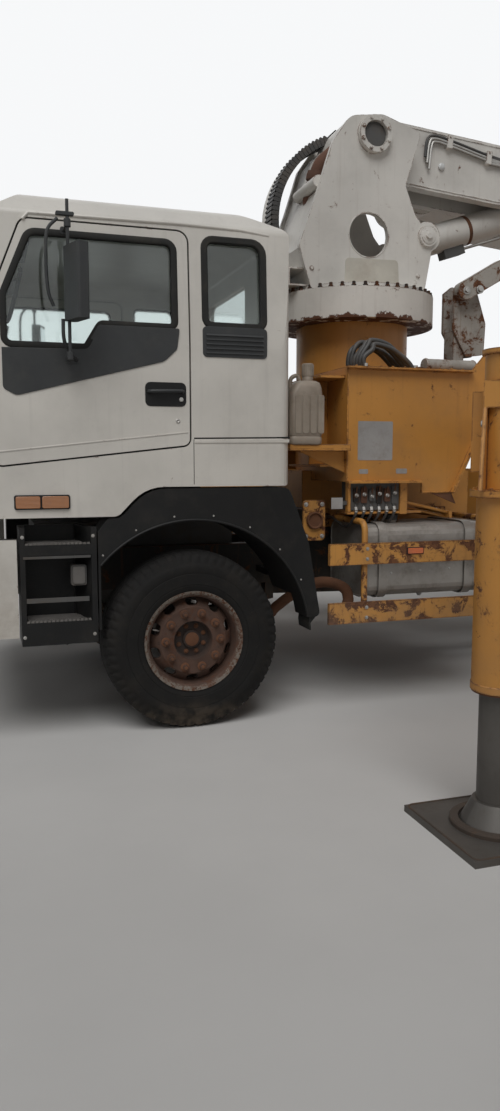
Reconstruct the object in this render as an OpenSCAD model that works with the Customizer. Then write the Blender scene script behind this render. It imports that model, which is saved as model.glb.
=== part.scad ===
// Truck-mounted concrete pump: a cab-over three-axle truck with a four-section folding boom.
// Millimetres. +X forward, +Y left, +Z up. The origin is on the ground, in the middle of the machine.

/* [Chassis] */
// Front axle's place ahead of the machine's middle
front_axle_x = 4182; // [4100:1:4300]
// First rear axle's distance behind the front axle
rear_axle_1 = 5250; // [5200:10:5400]
// Spacing of the two rear axles
bogie_base = 1350; // [1320:10:1400]
// Width over the frame rails
frame_w = 850; // [800:10:860]
// Top of the frame rails above the ground
rail_top = 1030; // [1020:5:1030]
// Height of a frame rail
rail_h = 280; // [240:10:290]
// Width of a rail's flanges
flange_w = 90; // [70:5:90]
// Thickness of a rail's steel
rail_t = 10; // [8:1:12]
// Height of the pump's subframe on the rails
subframe_h = 100; // [90:5:110]

/* [Wheels] */
// Outer diameter of a tyre
tyre_d = 1070; // [1060:2:1080]
// Width of a tyre
tyre_w = 315; // [290:5:318]
// Diameter of the rim's outer edge
rim_d = 600; // [580:5:610]
// Outer face of a front tyre from the centre plane
front_face_y = 1200; // [1190:1:1215]
// Kingpin's distance from the centre plane
kingpin_y = 830; // [820:1:835]
// Distance between the middles of two twin tyres
twin_pitch = 350; // [340:5:370]
// Outer face of an outer twin tyre from the centre plane
rear_face_y = 1237; // [1230:1:1250]
// Pitch circle of the wheel nuts
nut_pcd = 335; // [330:1:340]
// Number of wheel nuts
nut_count = 10; // [8:1:10]

/* [Cab] */
// Cab's front panel ahead of the front axle
cab_front = 1340; // [1330:1:1345]
// Cab's back panel behind the front axle
cab_back = 600; // [580:5:620]
// Cab's half width
cab_half_w = 1200; // [1190:1:1205]
// Highest point of the roof above the ground
roof_z = 3055; // [3000:5:3060]
// Thickness of walls and doors
wall = 60; // [50:1:65]
// Gap between a door and its opening
door_gap = 10; // [8:1:12]
// Thickness of the window glass
glass_t = 6; // [5:1:8]
// Height of the cab's tilting axis
tilt_z = 1100; // [1095:1:1105]
// Tilting axis ahead of the front axle
tilt_x = 1220; // [1210:1:1230]

/* [Pedestal and turret] */
// Slewing axis behind the front axle
slew_back = 1540; // [1520:5:1560]
// Radius of the pedestal's column
column_r = 415; // [410:5:450]
// Underside of the slewing ring's cover above the ground
ring_z = 2580; // [2560:5:2600]
// Height of the slewing ring's cover
ring_h = 210; // [200:5:220]
// Radius of the slewing ring's cover
ring_r = 600; // [590:5:610]
// Height of the boom's main pivot above the ground
pivot_z = 3840; // [3830:1:3850]
// Distance from the centre plane to a turret cheek's inner face
cheek_y = 310; // [300:1:312]
// Thickness of a turret cheek
cheek_t = 40; // [30:5:45]

/* [Boom] */
// Angle of the folded boom below level, in degrees
boom_dip = 4.5; // [4.4:0.1:4.6]
// Length of the first arm between its pivots
arm_1_l = 8000; // [7950:10:8000]
// Length of the second and third arms between their pivots
arm_mid_l = 7200; // [7100:10:7200]
// Length of the fourth arm to the middle of its outlet
arm_4_l = 6900; // [6700:10:6950]
// Bore of the delivery pipe
pipe_bore = 112; // [100:1:114]
// Outer diameter of the delivery pipe
pipe_d = 124; // [118:1:126]
// Radius of the fold pins
fold_pin_r = 90; // [80:1:92]

/* [Outriggers] */
// Front outrigger's leg behind the front axle
leg_back = 910; // [900:5:920]
// Front outrigger's leg from the centre plane
leg_y = 2930; // [2900:5:2950]
// Angle of a front outrigger's beam from the truck's length, in degrees
beam_angle = 50.4; // [50:0.1:51]
// Length of a front outrigger's beam
beam_l = 2850; // [2800:10:2900]
// Width of a front outrigger's beam
beam_w = 320; // [300:5:320]
// Height of a front outrigger's beam
beam_h = 340; // [320:5:340]
// Side of a square foot plate
pad_side = 580; // [540:5:600]
// Rear outrigger's pivot behind the front axle
rear_pivot_back = 7450; // [7440:5:7460]
// Rear outrigger's pivot from the centre plane
rear_pivot_y = 920; // [910:5:930]
// Length of a rear outrigger's arm
rear_arm_l = 1750; // [1700:10:1760]
// Angle of a rear outrigger's arm out from straight back, in degrees
rear_arm_angle = 60; // [58:1:62]

/* [Pump and hopper] */
// Half width of the hopper
hopper_half_w = 720; // [680:5:730]
// Radius of a delivery cylinder
pump_cyl_r = 125; // [115:1:130]
// Radius of a drive cylinder
drive_cyl_r = 75; // [65:1:80]

/* [Hidden] */
$fn = 48;
seat_gap = 0.3;
pin_gap = 0.05;
slide_gap = 0.4;
move_gap = 5;
fa = front_axle_x;
axle_z = tyre_d / 2;
ped_x = fa - slew_back;
rear_1_x = fa - rear_axle_1;
rear_2_x = rear_1_x - bogie_base;
rail_bottom = rail_top - rail_h;
deck_base = rail_top + subframe_h;
frame_front = fa + 1270;
frame_rear = fa - 8500;
turret_z = ring_z + ring_h + 0.5;
rim_r = rim_d / 2;
rear_face_in = rear_face_y - tyre_w;
rear_hub_y = rear_face_y - (twin_pitch - 20) - seat_gap;

// Paints and finishes
white_paint = "gainsboro";
yellow_paint = "goldenrod";
black_plastic = "dimgray";
dark_steel = "slategray";
rust_brown = "sienna";
bare_grey = "silver";

// Outlines
function left_of(v) = [-v[1], v[0]];
function unit(v) = v / norm(v);
function at(p, i) = p[(i + len(p)) % len(p)];
function flat2(p) = [p[0], p[1]];
function edge_normal(p, i) = unit(left_of(flat2(at(p, i + 1)) - flat2(at(p, i))));
// A counter-clockwise outline of [x, y, radius] corners, moved inwards by d
function inset(p, d) = [
  for (i = [0 : len(p) - 1])
    let (a = edge_normal(p, i - 1), b = edge_normal(p, i), s = d / (1 + a * b))
    [p[i][0] + s * (a[0] + b[0]), p[i][1] + s * (a[1] + b[1]),
     cross(a, b) > 0 ? max(p[i][2] - d, 0) : p[i][2] + (p[i][2] > 0 ? d : 0)]
];
function corner_arc(p, i, n) =
  let (q = flat2(p[i]), u = unit(flat2(at(p, i - 1)) - q), w = unit(flat2(at(p, i + 1)) - q),
       half = acos(u * w) / 2, r = p[i][2], c = q + unit(u + w) * r / sin(half),
       from = q + u * r / tan(half) - c, turn = 180 - 2 * half,
       way = cross(from, q + w * r / tan(half) - c) > 0 ? 1 : -1)
  [for (k = [0 : n]) let (t = way * turn * k / n)
    c + [from[0] * cos(t) - from[1] * sin(t), from[0] * sin(t) + from[1] * cos(t)]];
function rounded(p, n = 5) = [
  for (i = [0 : len(p) - 1])
    each (p[i][2] > 0 ? corner_arc(p, i, n) : [flat2(p[i])])
];

// Extrusions along Y of an [x, z] outline, and along X of a [y, z] outline
module along_y(y0, y1) {
  translate([0, y1, 0]) rotate([90, 0, 0]) linear_extrude(y1 - y0) children();
}
module along_x(x0, x1) {
  translate([x0, 0, 0]) rotate([90, 0, 90]) linear_extrude(x1 - x0) children();
}
module block(low, high) {
  translate(low) cube(high - low);
}
module rod_y(x, y0, y1, z, r, sides = $fn) {
  translate([x, y0, z]) rotate([-90, 0, 0]) cylinder(r = r, h = y1 - y0, $fn = sides);
}
module rod_x(x0, x1, y, z, r) {
  translate([x0, y, z]) rotate([0, 90, 0]) cylinder(r = r, h = x1 - x0);
}
module rod_z(x, y, z0, z1, r) {
  translate([x, y, z0]) cylinder(r = r, h = z1 - z0);
}
// A copy on each side of the centre plane
module both_sides() {
  children();
  mirror([0, 1, 0]) children();
}
module on_side(side) {
  mirror([0, side < 0 ? 1 : 0, 0]) children();
}

// Chassis
rail_y = frame_w / 2;
hinge_lug_y = 250;
cradle_t = 60;
engine_bottom = rail_bottom - 110;

module rail_section(h, w, t) {
  difference() {
    translate([-w, 0]) square([w, h]);
    translate([-w - 1, t]) square([w - t + 1, h - 2 * t]);
  }
}
module chassis_frame() color(dark_steel) {
  both_sides() {
    translate([0, rail_y, rail_bottom])
      along_x(frame_rear, frame_front) rail_section(rail_h, flange_w, rail_t);
    // subframe beam
    block([frame_rear, rail_y - flange_w, rail_top], [fa - 950, rail_y, deck_base]);
  }
  // cross members
  for (x = [fa - 900, fa - 2100, fa - 3400, fa - 4550, rear_1_x - bogie_base / 2, fa - 7450, frame_rear + 60])
    block([x - 60, -rail_y + rail_t, rail_bottom + rail_t + 20],
          [x + 60, rail_y - rail_t, rail_bottom + rail_h - rail_t - 20]);
  // engine cradles
  inner_y = rail_y - flange_w;
  for (x = [fa - 420, fa + 700]) {
    block([x - 50, -inner_y + 2, engine_bottom - cradle_t], [x + 50, inner_y - 2, engine_bottom]);
    both_sides() {
      block([x - 50, inner_y - 20, engine_bottom - cradle_t], [x + 50, inner_y - 2, rail_top - rail_t]);
      block([x - 50, inner_y - 20, rail_bottom], [x + 50, inner_y + 10, rail_top - rail_t]);
    }
  }
  // tube that carries the cab's hinge, on its brackets
  rod_y(fa + tilt_x, -rail_y, rail_y, tilt_z, 25);
  both_sides() block([fa + tilt_x - 40, rail_y - 60, rail_top], [fa + tilt_x + 40, rail_y, tilt_z + 40]);
  // brackets of the rear outriggers
  both_sides() rear_pivot_bracket();
}
rear_arm_z = [800, 1040];
module rear_pivot_bracket() {
  px = fa - rear_pivot_back;
  for (z = [[rear_arm_z[0] - 80, rear_arm_z[0] - seat_gap], [rear_arm_z[1] + move_gap, rear_arm_z[1] + 80]])
    difference() {
      union() {
        block([px - 130, rail_y, z[0]], [px + 130, rear_pivot_y, z[1]]);
        rod_z(px, rear_pivot_y, z[0], z[1], 130);
      }
      rod_z(px, rear_pivot_y, z[0] - 1, z[1] + 1, 40);
    }
  block([px - 130, rail_y, rear_arm_z[0] - 80], [px + 130, rail_y + 40, rear_arm_z[1] + 80]);
  rod_z(px, rear_pivot_y, rear_arm_z[0] - 80, rear_arm_z[1] + 80, 50);
}

front_beam_z = [425, 515];
module front_axle() {
  // dropped beam between the kingpin bosses
  along_x(fa - 45, fa + 45)
    polygon([[-kingpin_y, axle_z - 45], [-620, axle_z - 55], [-520, front_beam_z[0]], [520, front_beam_z[0]],
             [620, axle_z - 55], [kingpin_y, axle_z - 45], [kingpin_y, axle_z + 45],
             [590, axle_z + 30], [490, front_beam_z[1]], [-490, front_beam_z[1]],
             [-590, axle_z + 30], [-kingpin_y, axle_z + 45]]);
  both_sides() rod_z(fa, kingpin_y, axle_z - 75, axle_z + 75, 55);
}
// Pack of leaves on the spring's curve, each leaf shorter than the one above it; z is the lowest leaf's underside
leaf_t = 14;
module leaf_pack(x, half_l, z, leaves) {
  reach = [for (i = [0 : leaves - 1]) half_l * (1 - i / (leaves + 1))];
  rise = [for (l = reach) 60 * pow(l / half_l, 2)];
  low = [for (i = [0 : leaves - 1]) (leaves - 1 - i) * leaf_t];
  right = [
    for (i = [leaves - 1 : -1 : 0])
      each [[reach[i], low[i] + rise[i]], [reach[i], low[i] + rise[i] + leaf_t]]
  ];
  top = [for (i = [1 : leaves - 1]) [reach[i], leaves * leaf_t + rise[i]]];
  outline = concat([[120, 0]], right, top, [[120, leaves * leaf_t]]);
  along_y(rail_y - flange_w, rail_y - 10) translate([x, z])
    polygon(concat(outline, [for (i = [len(outline) - 1 : -1 : 0]) [-outline[i][0], outline[i][1]]]));
}
module axles_and_springs() color(dark_steel) {
  difference() {
    front_axle();
    both_sides() rod_z(fa, kingpin_y, axle_z - 80, axle_z + 80, 22);
  }
  front_leaves = 5;
  front_pack_top = front_beam_z[1] + front_leaves * leaf_t + 60;
  both_sides() {
    leaf_pack(fa, 760, front_beam_z[1], front_leaves);
    for (x = [-740, 740])
      block([fa + x - 30, rail_y - flange_w, front_pack_top - 12], [fa + x + 30, rail_y - 10, rail_bottom]);
  }
  // driven axles with their differential housings
  for (x = [rear_1_x, rear_2_x]) {
    rod_y(x, -rear_hub_y, rear_hub_y, axle_z, 70);
    translate([x, 0, axle_z]) sphere(r = 190, $fn = 48);
    both_sides() rod_y(x, 300, 420, axle_z, 80);
  }
  // bogie springs, upside down on the trunnion
  mid = (rear_1_x + rear_2_x) / 2;
  both_sides() {
    along_y(rail_y - flange_w, rail_y - 10)
      polygon([[mid - bogie_base / 2 - 60, axle_z + 60], [mid - bogie_base / 2 + 60, axle_z + 60],
               [mid - 250, axle_z + 120], [mid + 250, axle_z + 120],
               [mid + bogie_base / 2 - 60, axle_z + 60], [mid + bogie_base / 2 + 60, axle_z + 60],
               [mid + bogie_base / 2 + 60, axle_z + 110], [mid + 200, rail_bottom - 5],
               [mid + 200, rail_bottom], [mid - 200, rail_bottom], [mid - 200, rail_bottom - 5],
               [mid - bogie_base / 2 - 60, axle_z + 110]]);
    rod_y(mid, rail_y - flange_w - 20, rail_y + 20, axle_z + 60, 70);
  }
}

module engine() color(dark_steel) {
  block([fa - 500, -300, engine_bottom], [fa + 850, 300, engine_bottom + 550]);
}

// Tanks, guards and trim along the sides
tank_x = [fa - 2050, fa - 1150];
module fuel_tank() color(bare_grey) {
  along_x(tank_x[0], tank_x[1])
    polygon(rounded([[560, 720, 70], [1080, 720, 70], [1080, 1190, 70], [560, 1190, 70]], 4));
  // straps' bearers on the rail
  for (x = [tank_x[0] + 180, tank_x[1] - 220])
    block([x, rail_y, 850], [x + 40, 560, 1000]);
}

guard_x = [fa - 2150, fa - 880];
module side_guards() color(yellow_paint) both_sides() {
  for (z = [570, 945])
    block([guard_x[0], 1130, z], [guard_x[1], 1155, z + 135]);
  // bent tubes that carry both rails and reach in to the frame
  for (x = [guard_x[0] + 70, fa - 1140]) {
    rod_z(x, 1112, 590, 1152, 20);
    rod_y(x, rail_y, 1052, 1212, 20);
    intersection() {
      translate([x, 1052, 1152]) rotate([0, 90, 0]) rotate_extrude() translate([60, 0]) circle(r = 20);
      block([x - 30, 1051.9, 1151.9], [x + 30, 1140, 1240]);
    }
    // foot plate on the rail
    block([x - 45, rail_y, 1140], [x + 45, rail_y + 12, 1260]);
  }
}

// Pedestal
plate_y = 1020;
plate_t = 12;
cheek_low = 1465;
module pedestal() color(yellow_paint) {
  web_x = fa - 1050;
  rod_z(ped_x, 0, deck_base, ring_z, column_r);
  block([ped_x - 780, -rail_y, deck_base], [ped_x + 560, rail_y, deck_base + 400]);
  both_sides() {
    // outer cheek with its folded lip, its lower flange and the flange of its sloping rear edge
    along_y(plate_y - plate_t, plate_y)
      polygon([[web_x, cheek_low], [fa - 1590, cheek_low], [fa - 1590, 1390], [fa - 1806, 1390],
               [fa - 2079, 1968], [fa - 2079, 2342], [fa - 1945, 2190], [web_x, 2190]]);
    block([fa - 1950, plate_y - plate_t, 2178], [web_x + 15, plate_y + 45, 2190]);
    block([fa - 1590, plate_y - plate_t, cheek_low - 10], [web_x, plate_y + 40, cheek_low + 2]);
    along_y(plate_y - 130, plate_y + 40)
      polygon([[fa - 1806, 1390], [fa - 2079, 1968], [fa - 2091, 1962], [fa - 1818, 1384]]);
    // front and rear webs between the cheek and the column
    block([web_x - 12, rail_y - 200, cheek_low], [web_x, plate_y - plate_t, 2190]);
    block([fa - 1450, rail_y - 60, cheek_low], [web_x - 12, plate_y - plate_t, cheek_low + 12]);
    block([fa - 1900, 300, 1640], [fa - 1888, plate_y - plate_t, 2178]);
    block([fa - 1888, 380, 2166], [web_x - 12, plate_y - plate_t, 2178]);
    // flanges ahead of the front web, with a stiffener between them
    for (z = [1560, 2120])
      block([web_x - 1, rail_y, z], [web_x + 170, plate_y - 40, z + 15]);
    block([web_x - 1, plate_y - 330, 1574], [web_x + 130, plate_y - 318, 2121]);
  }
}
module slewing_ring() color(white_paint) {
  difference() {
    rod_z(ped_x, 0, ring_z, ring_z + ring_h, ring_r);
    rod_z(ped_x, 0, ring_z + 20, ring_z + ring_h + 1, 330);
  }
}

// Front outriggers: crossed diagonal beams, the left one above the right one
house_wall = 20;
house_gap = 5;
house_h = 400;
beam_z = [for (base = [deck_base + house_h, deck_base]) base + house_wall + 2 * seat_gap];
house_s = [2500, 5400];
module along_beam(side) {
  on_side(side) translate([fa - leg_back, leg_y, 0]) rotate([0, 0, beam_angle]) children();
}
module beam_house(side) {
  z = beam_z[side > 0 ? 0 : 1];
  g = house_wall + house_gap;
  along_beam(side) difference() {
    block([-house_s[1], -beam_w / 2 - g, z - house_wall - seat_gap],
          [-house_s[0], beam_w / 2 + g, z - house_wall - seat_gap + house_h]);
    block([-house_s[1] - 1, -beam_w / 2 - house_gap, z - seat_gap],
          [-house_s[0] + 1, beam_w / 2 + house_gap, z + beam_h + house_gap]);
  }
}
module outrigger_housings() color(yellow_paint) {
  beam_house(1);
  beam_house(-1);
  // stools under the upper housing
  for (p = [[fa - 2960, 340], [fa - 3708, -340]])
    block([p[0] - 80, p[1] - 80, deck_base + seat_gap], [p[0] + 80, p[1] + 80, deck_base + house_h + 1]);
}
jack_r = 88;
tube_r = 124;
tube_bore = jack_r + 0.4;
module outrigger_front(side) color(yellow_paint) {
  z = beam_z[side > 0 ? 0 : 1];
  head_top = z + beam_h + 160;
  along_beam(side) {
    difference() {
      union() {
        block([-beam_l, -beam_w / 2, z], [-60, beam_w / 2, z + beam_h]);
        // lower tube with its collar, upper tube, and the gussets and cap between them
        rod_z(0, 0, 630, z - 100, tube_r);
        rod_z(0, 0, z - 101, z - 71, tube_r + 28);
        rod_z(0, 0, z - 72, head_top, 105);
        rod_z(0, 0, head_top - 20, head_top, 118);
        for (y = [-96, 80])
          along_y(y, y + 16)
            polygon([[-125, z - 72], [205, z - 72], [112, z + 262], [112, z + beam_h + 30], [-125, z + beam_h + 30]]);
        block([95, -96, z + 262], [112, 96, z + beam_h + 30]);
      }
      rod_z(0, 0, 600, z + beam_h + 110, tube_bore);
      // slide pads run in the box's own hollow
      block([-beam_l - 1, -beam_w / 2 + 15, z + 15], [-400, beam_w / 2 - 15, z + beam_h - 15]);
    }
  }
}
module jack(leg_top) {
  rod_z(0, 0, 30, leg_top, jack_r);
  difference() {
    translate([0, 0, 30]) cylinder(r1 = 160, r2 = 105, h = 110);
    rod_z(0, 0, 29, 141, jack_r - 1);
  }
  block([-pad_side / 2, -pad_side / 2, 0], [pad_side / 2, pad_side / 2, 30]);
}
module jack_front(side) color(bare_grey)
  translate([fa - leg_back, side * leg_y, 0]) jack(1180);

// Rear outriggers: short arms that swing out about an upright pin
module at_rear_pivot(side) {
  on_side(side) translate([fa - rear_pivot_back, rear_pivot_y, 0])
    rotate([0, 0, 180 - rear_arm_angle]) children();
}
module outrigger_rear(side) color(yellow_paint) at_rear_pivot(side) difference() {
  union() {
    rod_z(0, 0, rear_arm_z[0], rear_arm_z[1], 125);
    block([0, -110, rear_arm_z[0]], [rear_arm_l, 110, rear_arm_z[1]]);
    rod_z(rear_arm_l, 0, rear_arm_z[0] - 60, rear_arm_z[1] + 60, 150);
    rod_z(rear_arm_l, 0, 600, 1800, tube_r);
  }
  rod_z(0, 0, rear_arm_z[0] - 1, rear_arm_z[1] + 1, 50 + pin_gap);
  rod_z(rear_arm_l, 0, 599, 1780, tube_bore);
}
module jack_rear(side) color(bare_grey)
  translate([fa - rear_pivot_back - rear_arm_l * cos(rear_arm_angle),
             side * (rear_pivot_y + rear_arm_l * sin(rear_arm_angle)), 0]) jack(1300);

// Wheels, with the axis along Y and the outer face at y = 0
module tyre() {
  w = tyre_w;
  r = tyre_d / 2;
  rotate([90, 0, 0]) rotate_extrude($fn = 72)
    polygon([[rim_r - 14, 12], [rim_r + 1, 12], [rim_r + 30, 3], [rim_r + 110, 0], [r - 70, 14], [r - 22, 30],
             [r, 62], [r, w - 62], [r - 22, w - 30], [r - 70, w - 14], [rim_r + 110, w], [rim_r + 30, w - 3],
             [rim_r + 1, w - 12], [rim_r - 14, w - 12]]);
}
// Rim with its disc; dish and hub_in are the depths of the disc and of the hub's cap behind the outer face
module rim(dish, hub_in) {
  w = tyre_w;
  rotate([90, 0, 0]) {
    difference() {
      rotate_extrude($fn = 72)
        polygon([[0, hub_in], [50, hub_in], [54, hub_in + 6], [54, hub_in + 22], [108, hub_in + 22],
                 [117, dish - 26], [200, dish - 24], [225, dish], [rim_r - 45, dish + 40], [rim_r - 34, 30], [rim_r - 14, 8],
                 [rim_r, 4], [rim_r, 11.7], [rim_r - 14.3, 12], [rim_r - 14.3, w - 12], [rim_r, w - 11.7], [rim_r, w - 4],
                 [rim_r - 14, w - 8], [rim_r - 30, w - 30], [rim_r - 34, dish + 80], [215, dish + 26],
                 [200, dish + 14], [200, dish + 150], [190, dish + 160], [190, dish + 20], [125, dish + 20],
                 [125, dish + 110], [60, dish + 110], [60, hub_in + 32], [0, hub_in + 32]]);
      // hand holes
      for (i = [0 : nut_count - 1])
        rotate([0, 0, (i + 0.5) * 360 / nut_count]) {
          for (t = [-14, 14])
            translate([231, t, dish - 60]) cylinder(r = 23, h = 120);
          translate([208, -14, dish - 60]) cube([46, 28, 120]);
        }
    }
    // wheel nuts
    for (i = [0 : nut_count - 1])
      rotate([0, 0, i * 360 / nut_count])
        translate([nut_pcd / 2, 0, dish - 55]) cylinder(r = 17, h = 40, $fn = 6);
  }
}
module front_wheel_place(side) {
  on_side(side) translate([fa, front_face_y, axle_z]) children();
}
module tyre_front(side) color("black") front_wheel_place(side) tyre();
module rim_front(side) color(rust_brown) front_wheel_place(side) rim(62, 72);
// Pair of rear rims bolted disc to disc; the depths are counted from the outer tyre's face
module twin_rim() {
  w = tyre_w;
  q = twin_pitch;
  disc = q - 50;
  rotate([90, 0, 0]) {
    difference() {
      rotate_extrude($fn = 72)
        polygon([[0, 90], [80, 90], [95, 105], [105, disc - 4], [215, disc], [250, disc - 30], [rim_r - 34, 40],
                 [rim_r - 14, 8], [rim_r, 4], [rim_r, 11.7], [rim_r - 14.3, 12], [rim_r - 14.3, w - 12],
                 [rim_r, w - 11.7], [rim_r, w - 4], [rim_r - 20, w - 2], [rim_r - 20, q + 2],
                 [rim_r, q + 4], [rim_r, q + 11.7], [rim_r - 14.3, q + 12], [rim_r - 14.3, q + w - 12],
                 [rim_r, q + w - 11.7], [rim_r, q + w - 4], [rim_r - 14, q + w - 8], [rim_r - 34, q + w - 30],
                 [rim_r - 34, q + 60], [245, disc + 44], [215, disc + 30], [205, disc + 30], [205, disc + 170],
                 [190, disc + 170], [190, disc + 30], [0, disc + 30]]);
      for (i = [0 : nut_count - 1])
        rotate([0, 0, (i + 0.5) * 360 / nut_count])
          translate([222, 0, disc - 60]) cylinder(r = 18, h = 130);
    }
    for (i = [0 : nut_count - 1])
      rotate([0, 0, i * 360 / nut_count])
        translate([nut_pcd / 2, 0, disc - 30]) cylinder(r = 17, h = 40, $fn = 6);
  }
}
module wheels_rear(x, side) color("black") on_side(side) translate([x, rear_face_y, axle_z]) {
  tyre();
  translate([0, -twin_pitch, 0]) tyre();
  twin_rim();
}

// Steering knuckle, with the kingpin at the origin
module knuckle(side) color(dark_steel) on_side(side) translate([fa, kingpin_y, axle_z]) {
  rod_z(0, 0, -120, 120, 22 - pin_gap);
  for (z = [[-120, -80], [80, 120]])
    rod_z(0, 0, z[0], z[1], 50);
  difference() {
    block([-50, 0, -120], [50, 90, 120]);
    block([-51, -1, -80], [51, 62, 80]);
  }
  along_stub(front_face_y - kingpin_y - 106);
}
module along_stub(l) {
  rod_y(0, 60, l, 0, 60 - pin_gap);
}

// Cab: outlines of [x, z], [y, z] and [x, y] corners with their radii
cab_side_outline = [
  [fa + 440, 1285, 60], [fa + cab_front, 1285, 60], [fa + cab_front, 2030, 90], [fa + 1090, roof_z - 130, 60],
  [fa + 900, roof_z, 120], [fa - 300, roof_z - 10, 200], [fa - cab_back, roof_z - 120, 80],
  [fa - cab_back, 1450, 30], [fa + 280, 1450, 250]
];
cab_front_outline = [
  [-cab_half_w, 1200, 0], [cab_half_w, 1200, 0], [cab_half_w, 2250, 100], [cab_half_w - 40, roof_z - 130, 60],
  [cab_half_w - 160, roof_z - 10, 140], [0, roof_z + 25, 200], [-cab_half_w + 160, roof_z - 10, 140],
  [-cab_half_w + 40, roof_z - 130, 60], [-cab_half_w, 2250, 100]
];
cab_plan_outline = [
  [fa - cab_back, -cab_half_w, 60], [fa + 1110, -cab_half_w, 40], [fa + cab_front, -cab_half_w + 110, 120],
  [fa + cab_front + 20, 0, 400], [fa + cab_front, cab_half_w - 110, 120], [fa + 1110, cab_half_w, 40],
  [fa - cab_back, cab_half_w, 60]
];
module cab_form(d) {
  intersection() {
    along_y(-1300, 1300) polygon(rounded(inset(cab_side_outline, d)));
    along_x(fa - 1000, fa + 1600) polygon(rounded(inset(cab_front_outline, d)));
    translate([0, 0, 1000]) linear_extrude(2300) polygon(rounded(inset(cab_plan_outline, d)));
  }
}
// A layer of the cab's shell, from depth a to depth b
module cab_layer(a, b) {
  difference() {
    cab_form(a);
    cab_form(b);
  }
}

// Door outline of [x, z, radius], with its window and the black panel below it
door_outline = [
  [fa + 20, 1690, 40], [fa + 1100, 1570, 40], [fa + 1100, 2440, 120], [fa + 925, 2880, 60], [fa + 20, 2880, 60]
];
door_window = [
  [fa + 100, 2350, 30], [fa + 520, 2350, 30], [fa + 600, 2220, 30], [fa + 1030, 2220, 40],
  [fa + 1030, 2480, 100], [fa + 890, 2815, 60], [fa + 100, 2815, 50]
];
quarter_window = [
  [fa - 430, 2370, 40], [fa - 80, 2370, 40], [fa - 80, 2850, 50], [fa - 430, 2850, 70]
];
screen_window = [
  [-1030, 2120, 80], [1030, 2120, 80], [970, 2860, 80], [-970, 2860, 80]
];
back_window = [
  [-480, 2320, 60], [480, 2320, 60], [480, 2760, 60], [-480, 2760, 60]
];
module door_prism(d, y0) {
  along_y(y0, 1300) polygon(rounded(inset(door_outline, d)));
}
module cab_openings(d) {
  along_x(fa + 900, fa + 1600) polygon(rounded(inset(screen_window, d)));
  along_x(fa - 1000, fa - 300) polygon(rounded(inset(back_window, d)));
  both_sides() along_y(900, 1300) polygon(rounded(inset(quarter_window, d)));
}
// Each door turns on two pins just ahead of its front edge
door_axis = [fa + 1112, cab_half_w - 10];
hinge_z = [[1760, 1820], [2260, 2320]];
module cab_shell() color(white_paint) {
  difference() {
    cab_layer(0, wall);
    both_sides() {
      door_prism(-door_gap, 1000);
      for (z = hinge_z) {
        rod_z(door_axis[0], door_axis[1], z[0] - move_gap, z[1] + move_gap, 13);
        block([door_axis[0] - 13, door_axis[1], z[0] - move_gap], [door_axis[0] + 13, cab_half_w + 10, z[1] + move_gap]);
      }
    }
    cab_openings(0);
  }
  both_sides() for (z = hinge_z)
    rod_z(door_axis[0], door_axis[1], z[0] - 15, z[1] + 15, 4);
  // hinge arms under the floor
  for (y = [-hinge_lug_y, hinge_lug_y])
    difference() {
      along_y(y - 25, y + 25) {
        polygon([[fa + tilt_x - 50, tilt_z], [fa + tilt_x + 30, tilt_z], [fa + tilt_x + 30, 1286],
                 [fa + tilt_x - 90, 1286]]);
        translate([fa + tilt_x, tilt_z]) circle(r = 50);
      }
      rod_y(fa + tilt_x, y - 30, y + 30, tilt_z, 25 + pin_gap);
    }
}
glass_depth = 25;
module cab_glass() color("darkslategray") {
  intersection() {
    cab_layer(glass_depth, glass_depth + glass_t);
    cab_openings(seat_gap);
  }
}
module door(side) color(white_paint) on_side(side) {
  difference() {
    intersection() {
      cab_layer(0, wall);
      door_prism(0, 1000);
    }
    along_y(1000, 1300) polygon(rounded(door_window));
  }
  for (z = hinge_z)
    difference() {
      union() {
        rod_z(door_axis[0], door_axis[1], z[0], z[1], 8);
        block([door_axis[0] - 20, door_axis[1] - 6, z[0]], [door_axis[0], door_axis[1] + 2, z[1]]);
      }
      rod_z(door_axis[0], door_axis[1], z[0] - 1, z[1] + 1, 4 + pin_gap);
    }
}
module door_glass(side) color("darkslategray") on_side(side)
  intersection() {
    cab_layer(glass_depth, glass_depth + glass_t);
    along_y(1000, 1300) polygon(rounded(inset(door_window, seat_gap)));
  }
function skin_y(z) = cab_half_w - max(0, z - 2250) * 40 / (roof_z - 130 - 2250);
mirror_x = fa + 700;
module mirror_unit(side) color("black") on_side(side) {
  // upright tube with its two arms, and the mirror's housing
  rod_z(mirror_x, 1330, 2130, 2880, 9);
  for (z = [2150, 2830])
    rod_y(mirror_x, skin_y(z) + seat_gap, 1330, z, 9);
  translate([mirror_x + 20, 1330, 2330]) rotate([0, 0, 20])
    linear_extrude(380) polygon(rounded([[-65, -10, 28], [5, -10, 14], [5, 170, 14], [-65, 170, 28]]));
}
seat_y = 560;
module seats() color("dimgray") both_sides() {
  translate([fa - 60, seat_y, 0]) {
    block([-20, -240, 1450 + wall + seat_gap], [420, 240, 1760]);
    block([-60, -250, 1760.3], [440, 250, 1890]);
    block([-190, -240, 1700], [-60.3, 240, 2480]);
  }
}
module dashboard() color("dimgray") {
  intersection() {
    cab_form(wall + seat_gap);
    along_y(-1080, 1080)
      polygon([[fa + 900, 2000], [fa + 900, 1700], [fa + 1300, 1500], [fa + 1300, 2050], [fa + 1180, 2090]]);
  }
  // steering column and wheel on the left side
  translate([fa + 900, seat_y, 1900]) rotate([0, -50, 0]) {
    rod_z(0, 0, -30, 275, 35);
    translate([0, 0, 250]) rotate_extrude($fn = 48) translate([215, 0]) circle(r = 16);
    for (a = [90, 210, 330])
      rotate([0, 0, a]) rod_x(20, 215, 0, 250, 14);
  }
}

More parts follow.
